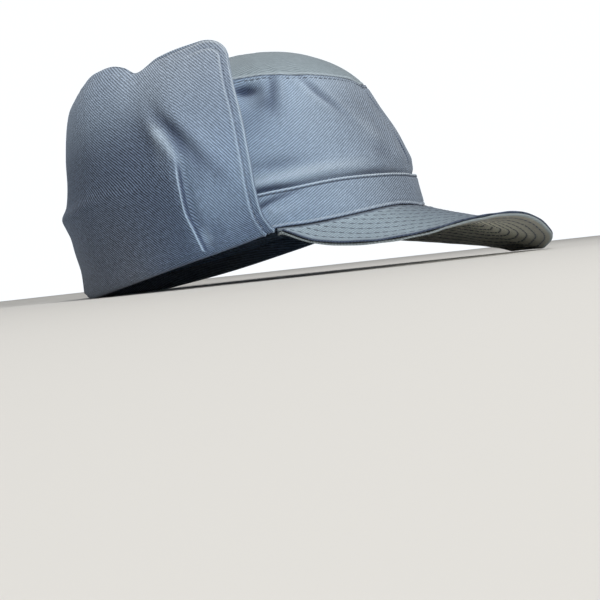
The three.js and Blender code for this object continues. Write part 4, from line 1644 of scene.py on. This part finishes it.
def peak_raised(across, reach, height):
    """The peak's layers, raised square to its underside."""
    points = peak_point(across, reach)
    normal = np.cross(np.gradient(points, axis=1), np.gradient(points, axis=0))
    normal /= np.maximum(np.linalg.norm(normal, axis=-1, keepdims=True), 1e-9)
    return points + normal * np.sign(normal[..., 2:3]) * height


def peak_rows(points, normals, from_edge, spacing):
    """Rows of stitching that follow the peak's outer edge, a spacing apart."""
    rows, columns = from_edge.shape
    found = []
    for number in range(PEAK_ROWS):
        distance = spacing * (number + PEAK_FIRST_ROW)
        path = []
        for column in range(columns):
            line = from_edge[:, column][::-1]
            if line.max() > distance + 1:
                row = rows - 1 - float(np.interp(distance, line, np.arange(rows)))
                path.append((float(column), row))
        if len(path) > PEAK_SHORTEST_ROW:
            path = np.array(path)
            found.append(on_grid(points, normals, path[:, 0], path[:, 1]))
    return found


class CAP_OT_peak(bpy.types.Operator):
    """Makes the peak's upper and under layers with their rows of stitching"""

    bl_idname = "cap.peak"
    bl_label = "Peak"

    def execute(self, context):
        columns, rows = PEAK_GRID
        across = crowded(1, -1, columns, [(1, 0.06, 2), (-1, 0.06, 2)])
        reaches = crowded(0.03, 1, rows, [(1, 0.05, 3)])
        a, reach = np.meshgrid(across, reaches)
        upper_root = along_roll(PEAK_ROOT_ROLL, PEAK_ROLL_CELLS, peak_root_point, across)
        upper = np.concatenate([upper_root, peak_raised(a, reach, PEAK_TOP_FACE)])
        self.layer(
            "visor_top",
            upper[:, ::-1],
            across[::-1],
            len(upper_root),
            "peak cotton twill",
            "twill",
        )
        under_root = peak_root_point(across, PEAK_UNDER_ROOT_OFFSET, PEAK_ROOT_RISE)
        under = np.concatenate([under_root[None], peak_raised(a, reach, 0.0)])
        self.layer(
            "visor_under",
            under,
            across,
            1,
            "underside cotton twill",
            "underside_twill",
        )
        return {"FINISHED"}

    def layer(self, node, points, across, root_rows, cloth, slot):
        """One layer of the peak and its stitches."""
        sizes = bpy.context.scene.cap_sizes
        spacing = sizes.peak_row_spacing / MM
        rise = along_grid(points, 0)
        from_edge = distance_to(points, points[-1])
        # A wave that is 1 on each row of stitching, where the two layers are sewn together
        on_row = np.maximum(np.cos(2 * math.pi * (from_edge / spacing - PEAK_FIRST_ROW)), 0)
        quilted = ramp(from_edge, 2, 5) * ramp(rise, 12, 18)
        out = rolled(from_edge, 1.4, 0.8) - 0.22 * quilted * on_row**4
        out += 0.15 * ripples(points[..., 0], points[..., 1], seed=51, shortest=12, longest=34)
        normals = grid_normals(points)
        finished = points + normals * out[..., None]
        if node == "visor_top":
            from_root = rise - rise[root_rows]
            marks = self.upper_marks(across, from_edge, from_root, quilted * on_row**12)
        else:
            marks = self.under_marks(points, from_edge, quilted * on_row**4)
        cloth_map = np.stack([points[..., 0], -points[..., 1]], axis=-1)
        piece = lay_grid(node + "_cloth", finished, cloth_map, marks)
        thicken(piece, sizes.peak_cloth, edge=0.6 * MM)
        finish(piece, cotton_for(cloth), slot, node)
        threads = peak_rows(finished, normals, from_edge, spacing)
        stitches = sew(node + "_stitches", threads, length=2.8, gap=1.8, width=1.0, height=0.5)
        finish(stitches, cotton_for("peak cotton thread"), slot)

    def upper_marks(self, across, from_edge, from_root, stitched):
        """Marks of the upper layer, whose dye is painted deeper away from its right corner as shade."""
        # Painted shade along the rolled edge, under the band at the root and faintly on the rows;
        # painted paler just below the root, and a faint painted highlight inside the edge
        seam_and_shade = 0.5 * stitched + 1.3 * hump(from_edge, 0, 0.55) + 0.42 * hump(from_edge, 0, 2.0)
        seam_and_shade += np.clip(0.3 - from_root / 0.45, 0, 1)
        fade_light_and_shade = 0.1 - 0.44 * ramp(across, 0.6, 0.25) + 0.2 * hump(from_root, 0.3, 2.2)
        return {
            "seam_and_shade": np.clip(seam_and_shade, 0, 1),
            "wear_and_highlight": 0.1 * hump(from_edge, 2.2, 1.2),
            "fade_light_and_shade": fade_light_and_shade,
            "blue": 0.08,
        }

    def under_marks(self, points, from_edge, stitched):
        """Marks of the under layer, which is worn at its edges and painted paler farther in, standing
        in for the light that reaches under the peak.
        """
        from_end = np.minimum(distance_to(points, points[:, 0]), distance_to(points, points[:, -1]))
        worn_and_lit = np.clip(1.8 - np.minimum(from_edge, from_end / 3) / 1.1, 0, 0.8)
        return {
            "seam_and_shade": np.clip(0.7 * stitched, 0, 1),
            "wear_and_highlight": worn_and_lit,
            "fade_light_and_shade": 1.9 * ramp(from_edge, 6, 30),
            "blue": 0.0,
        }


# Stage


# The camera: which way it stands from the cap, how far off, how far to the right and how
# high, in metres, how its picture is tipped and rolled, and its focal length in widths of
# the picture. A program solved how far to the right it stands and how far down it looks, so
# that the cap falls where it does in the photo.
VIEW_TURN = math.radians(-73)
VIEW_OUT = Vector((math.sin(VIEW_TURN), -math.cos(VIEW_TURN), 0))
VIEW_RIGHT = Vector((-VIEW_OUT.y, VIEW_OUT.x, 0))
VIEW_DISTANCE = 0.85
VIEW_SIDEWAYS = 0.022276
VIEW_RISE = 0.008
VIEW_LOOK_DOWN = math.radians(1.5045)
VIEW_ROLL = math.radians(6.3)
FOCAL_WIDTHS = 1445 / 600
SENSOR_WIDTH = 36

# The lights, which face the middle of the cap, in metres, degrees and watts
STAGE_MIDDLE = Vector((0, 0, 0.06))
LAMP_COLOUR = (1.0, 0.97, 0.93)
SOFT_BOXES = [
    {"turn": 40, "rise": 17, "distance": 1.9, "size": 0.6, "power": 23},
    {"turn": 60, "rise": 76, "distance": 1.9, "size": 0.7, "power": 20},
    {"turn": 165, "rise": 10, "distance": 1.9, "size": 0.7, "power": 6},
]

# The room: how bright it is, how bright its lit wall is, and the cosines of the angle from
# the wall's middle between which the one turns to the other
ROOM_COLOUR = (0.94, 0.97, 1.0)
ROOM_LIGHT = 0.09
WALL_LIGHT = 1.06
WALL_FADES_FROM = 0.955
WALL_FADES_TO = 0.84


class CAP_OT_stage(bpy.types.Operator):
    """Sets up the pale floor, the soft studio light and the camera"""

    bl_idname = "cap.stage"
    bl_label = "Stage"

    def execute(self, context):
        scene = context.scene
        bpy.ops.object.select_all(action="DESELECT")
        bpy.ops.mesh.primitive_circle_add(vertices=96, radius=1, fill_type="NGON")
        floor = context.object
        floor.name = "floor"
        # Matt paint is even and pale, with no shine
        material = bpy.data.materials.new("matt white studio paint")
        material.use_nodes = True
        shader = material.node_tree.nodes["Principled BSDF"]
        shader.inputs["Base Color"].default_value = (*linear("#dcdcda"), 1)
        shader.inputs["Roughness"].default_value = 0.9
        floor.data.materials.append(material)
        scene.world = self.studio()
        up = Vector((0, 0, 1))
        for box in SOFT_BOXES:
            turn, rise = math.radians(box["turn"]), math.radians(box["rise"])
            level = Vector((-math.sin(turn), -math.cos(turn), 0))
            towards = level * math.cos(rise) + up * math.sin(rise)
            place = STAGE_MIDDLE + towards * box["distance"]
            self.soft_box(context, place, box["size"], box["power"])
        self.set_camera(scene, up)
        scene.view_settings.view_transform = "Standard"
        return {"FINISHED"}

    def set_camera(self, scene, up):
        """The camera that looks at the cap from its right."""
        data = bpy.data.cameras.new("camera")
        camera = bpy.data.objects.new("camera", data)
        scene.collection.objects.link(camera)
        data.sensor_width = SENSOR_WIDTH
        data.lens = SENSOR_WIDTH * FOCAL_WIDTHS
        data.clip_start = 0.01
        data.clip_end = 50
        anchor = Vector([c * MM for c in STAND_PLACE])
        place = anchor + VIEW_OUT * VIEW_DISTANCE + VIEW_RIGHT * VIEW_SIDEWAYS
        place.z = VIEW_RISE
        look = -VIEW_OUT * math.cos(VIEW_LOOK_DOWN) - up * math.sin(VIEW_LOOK_DOWN)
        above = VIEW_RIGHT.cross(look)
        x_axis = VIEW_RIGHT * math.cos(VIEW_ROLL) - above * math.sin(VIEW_ROLL)
        y_axis = VIEW_RIGHT * math.sin(VIEW_ROLL) + above * math.cos(VIEW_ROLL)
        camera.matrix_world = Matrix(
            (
                (x_axis.x, y_axis.x, -look.x, place.x),
                (x_axis.y, y_axis.y, -look.y, place.y),
                (x_axis.z, y_axis.z, -look.z, place.z),
                (0, 0, 0, 1),
            )
        )
        scene.camera = camera

    def studio(self):
        """A dim pale room with one brightly lit wall beyond the cap."""
        world = bpy.data.worlds.new("studio")
        world.use_nodes = True
        tree = world.node_tree
        tree.nodes.clear()
        place = add_node(tree, "ShaderNodeTexCoord")
        towards_wall = add_node(
            tree,
            "ShaderNodeVectorMath",
            {"operation": "DOT_PRODUCT"},
            {1: tuple(-VIEW_OUT)},
            {0: place.outputs["Generated"]},
        )
        lit = add_node(
            tree,
            "ShaderNodeMapRange",
            {"interpolation_type": "SMOOTHSTEP"},
            {
                "From Min": WALL_FADES_TO,
                "From Max": WALL_FADES_FROM,
                "To Min": ROOM_LIGHT,
                "To Max": WALL_LIGHT,
            },
            {"Value": towards_wall.outputs["Value"]},
        )
        background = add_node(
            tree,
            "ShaderNodeBackground",
            values={"Color": (*ROOM_COLOUR, 1)},
            links={"Strength": lit.outputs["Result"]},
        )
        add_node(
            tree,
            "ShaderNodeOutputWorld",
            links={"Surface": background.outputs["Background"]},
        )
        return world

    def soft_box(self, context, place, size, power):
        """A square soft light that faces the cap."""
        data = bpy.data.lights.new("soft_box", "AREA")
        data.shape = "SQUARE"
        data.size = size
        data.energy = power
        data.color = LAMP_COLOUR
        light = bpy.data.objects.new("soft_box", data)
        context.scene.collection.objects.link(light)
        light.location = place
        light.rotation_mode = "QUATERNION"
        light.rotation_quaternion = (STAGE_MIDDLE - place).to_track_quat("-Z", "Y")


class CAP_PT_sewing(bpy.types.Panel):
    """Lists the cap's sizes, colours and pieces."""

    bl_idname = "CAP_PT_sewing"
    bl_label = "Earflap cap"
    bl_space_type = "VIEW_3D"
    bl_region_type = "UI"
    bl_category = "Cap"

    def draw(self, context):
        for group in (context.scene.cap_sizes, context.scene.cap_colours):
            box = self.layout.box()
            for field in group.__annotations__:
                box.prop(group, field)
        for operator in OPERATORS:
            self.layout.operator(operator.bl_idname)


OPERATORS = (
    CAP_OT_crown_sides,
    CAP_OT_crown_top,
    CAP_OT_head_band,
    CAP_OT_ear_flap,
    CAP_OT_ear_flap_facing,
    CAP_OT_peak,
    CAP_OT_stage,
)
CLASSES = (CapSizes, CapColours, *OPERATORS, CAP_PT_sewing)


def register():
    for each in CLASSES:
        bpy.utils.register_class(each)
    bpy.types.Scene.cap_sizes = bpy.props.PointerProperty(type=CapSizes)
    bpy.types.Scene.cap_colours = bpy.props.PointerProperty(type=CapColours)


def unregister():
    del bpy.types.Scene.cap_colours
    del bpy.types.Scene.cap_sizes
    for each in reversed(CLASSES):
        bpy.utils.unregister_class(each)


def main():
    register()
    bpy.ops.object.select_all(action="DESELECT")
    bpy.ops.cap.stage()
    bpy.ops.cap.crown_sides()
    bpy.ops.cap.crown_top()
    bpy.ops.cap.head_band()
    bpy.ops.cap.ear_flap()
    bpy.ops.cap.ear_flap_facing()
    bpy.ops.cap.peak()


if __name__ == "__main__":
    main()
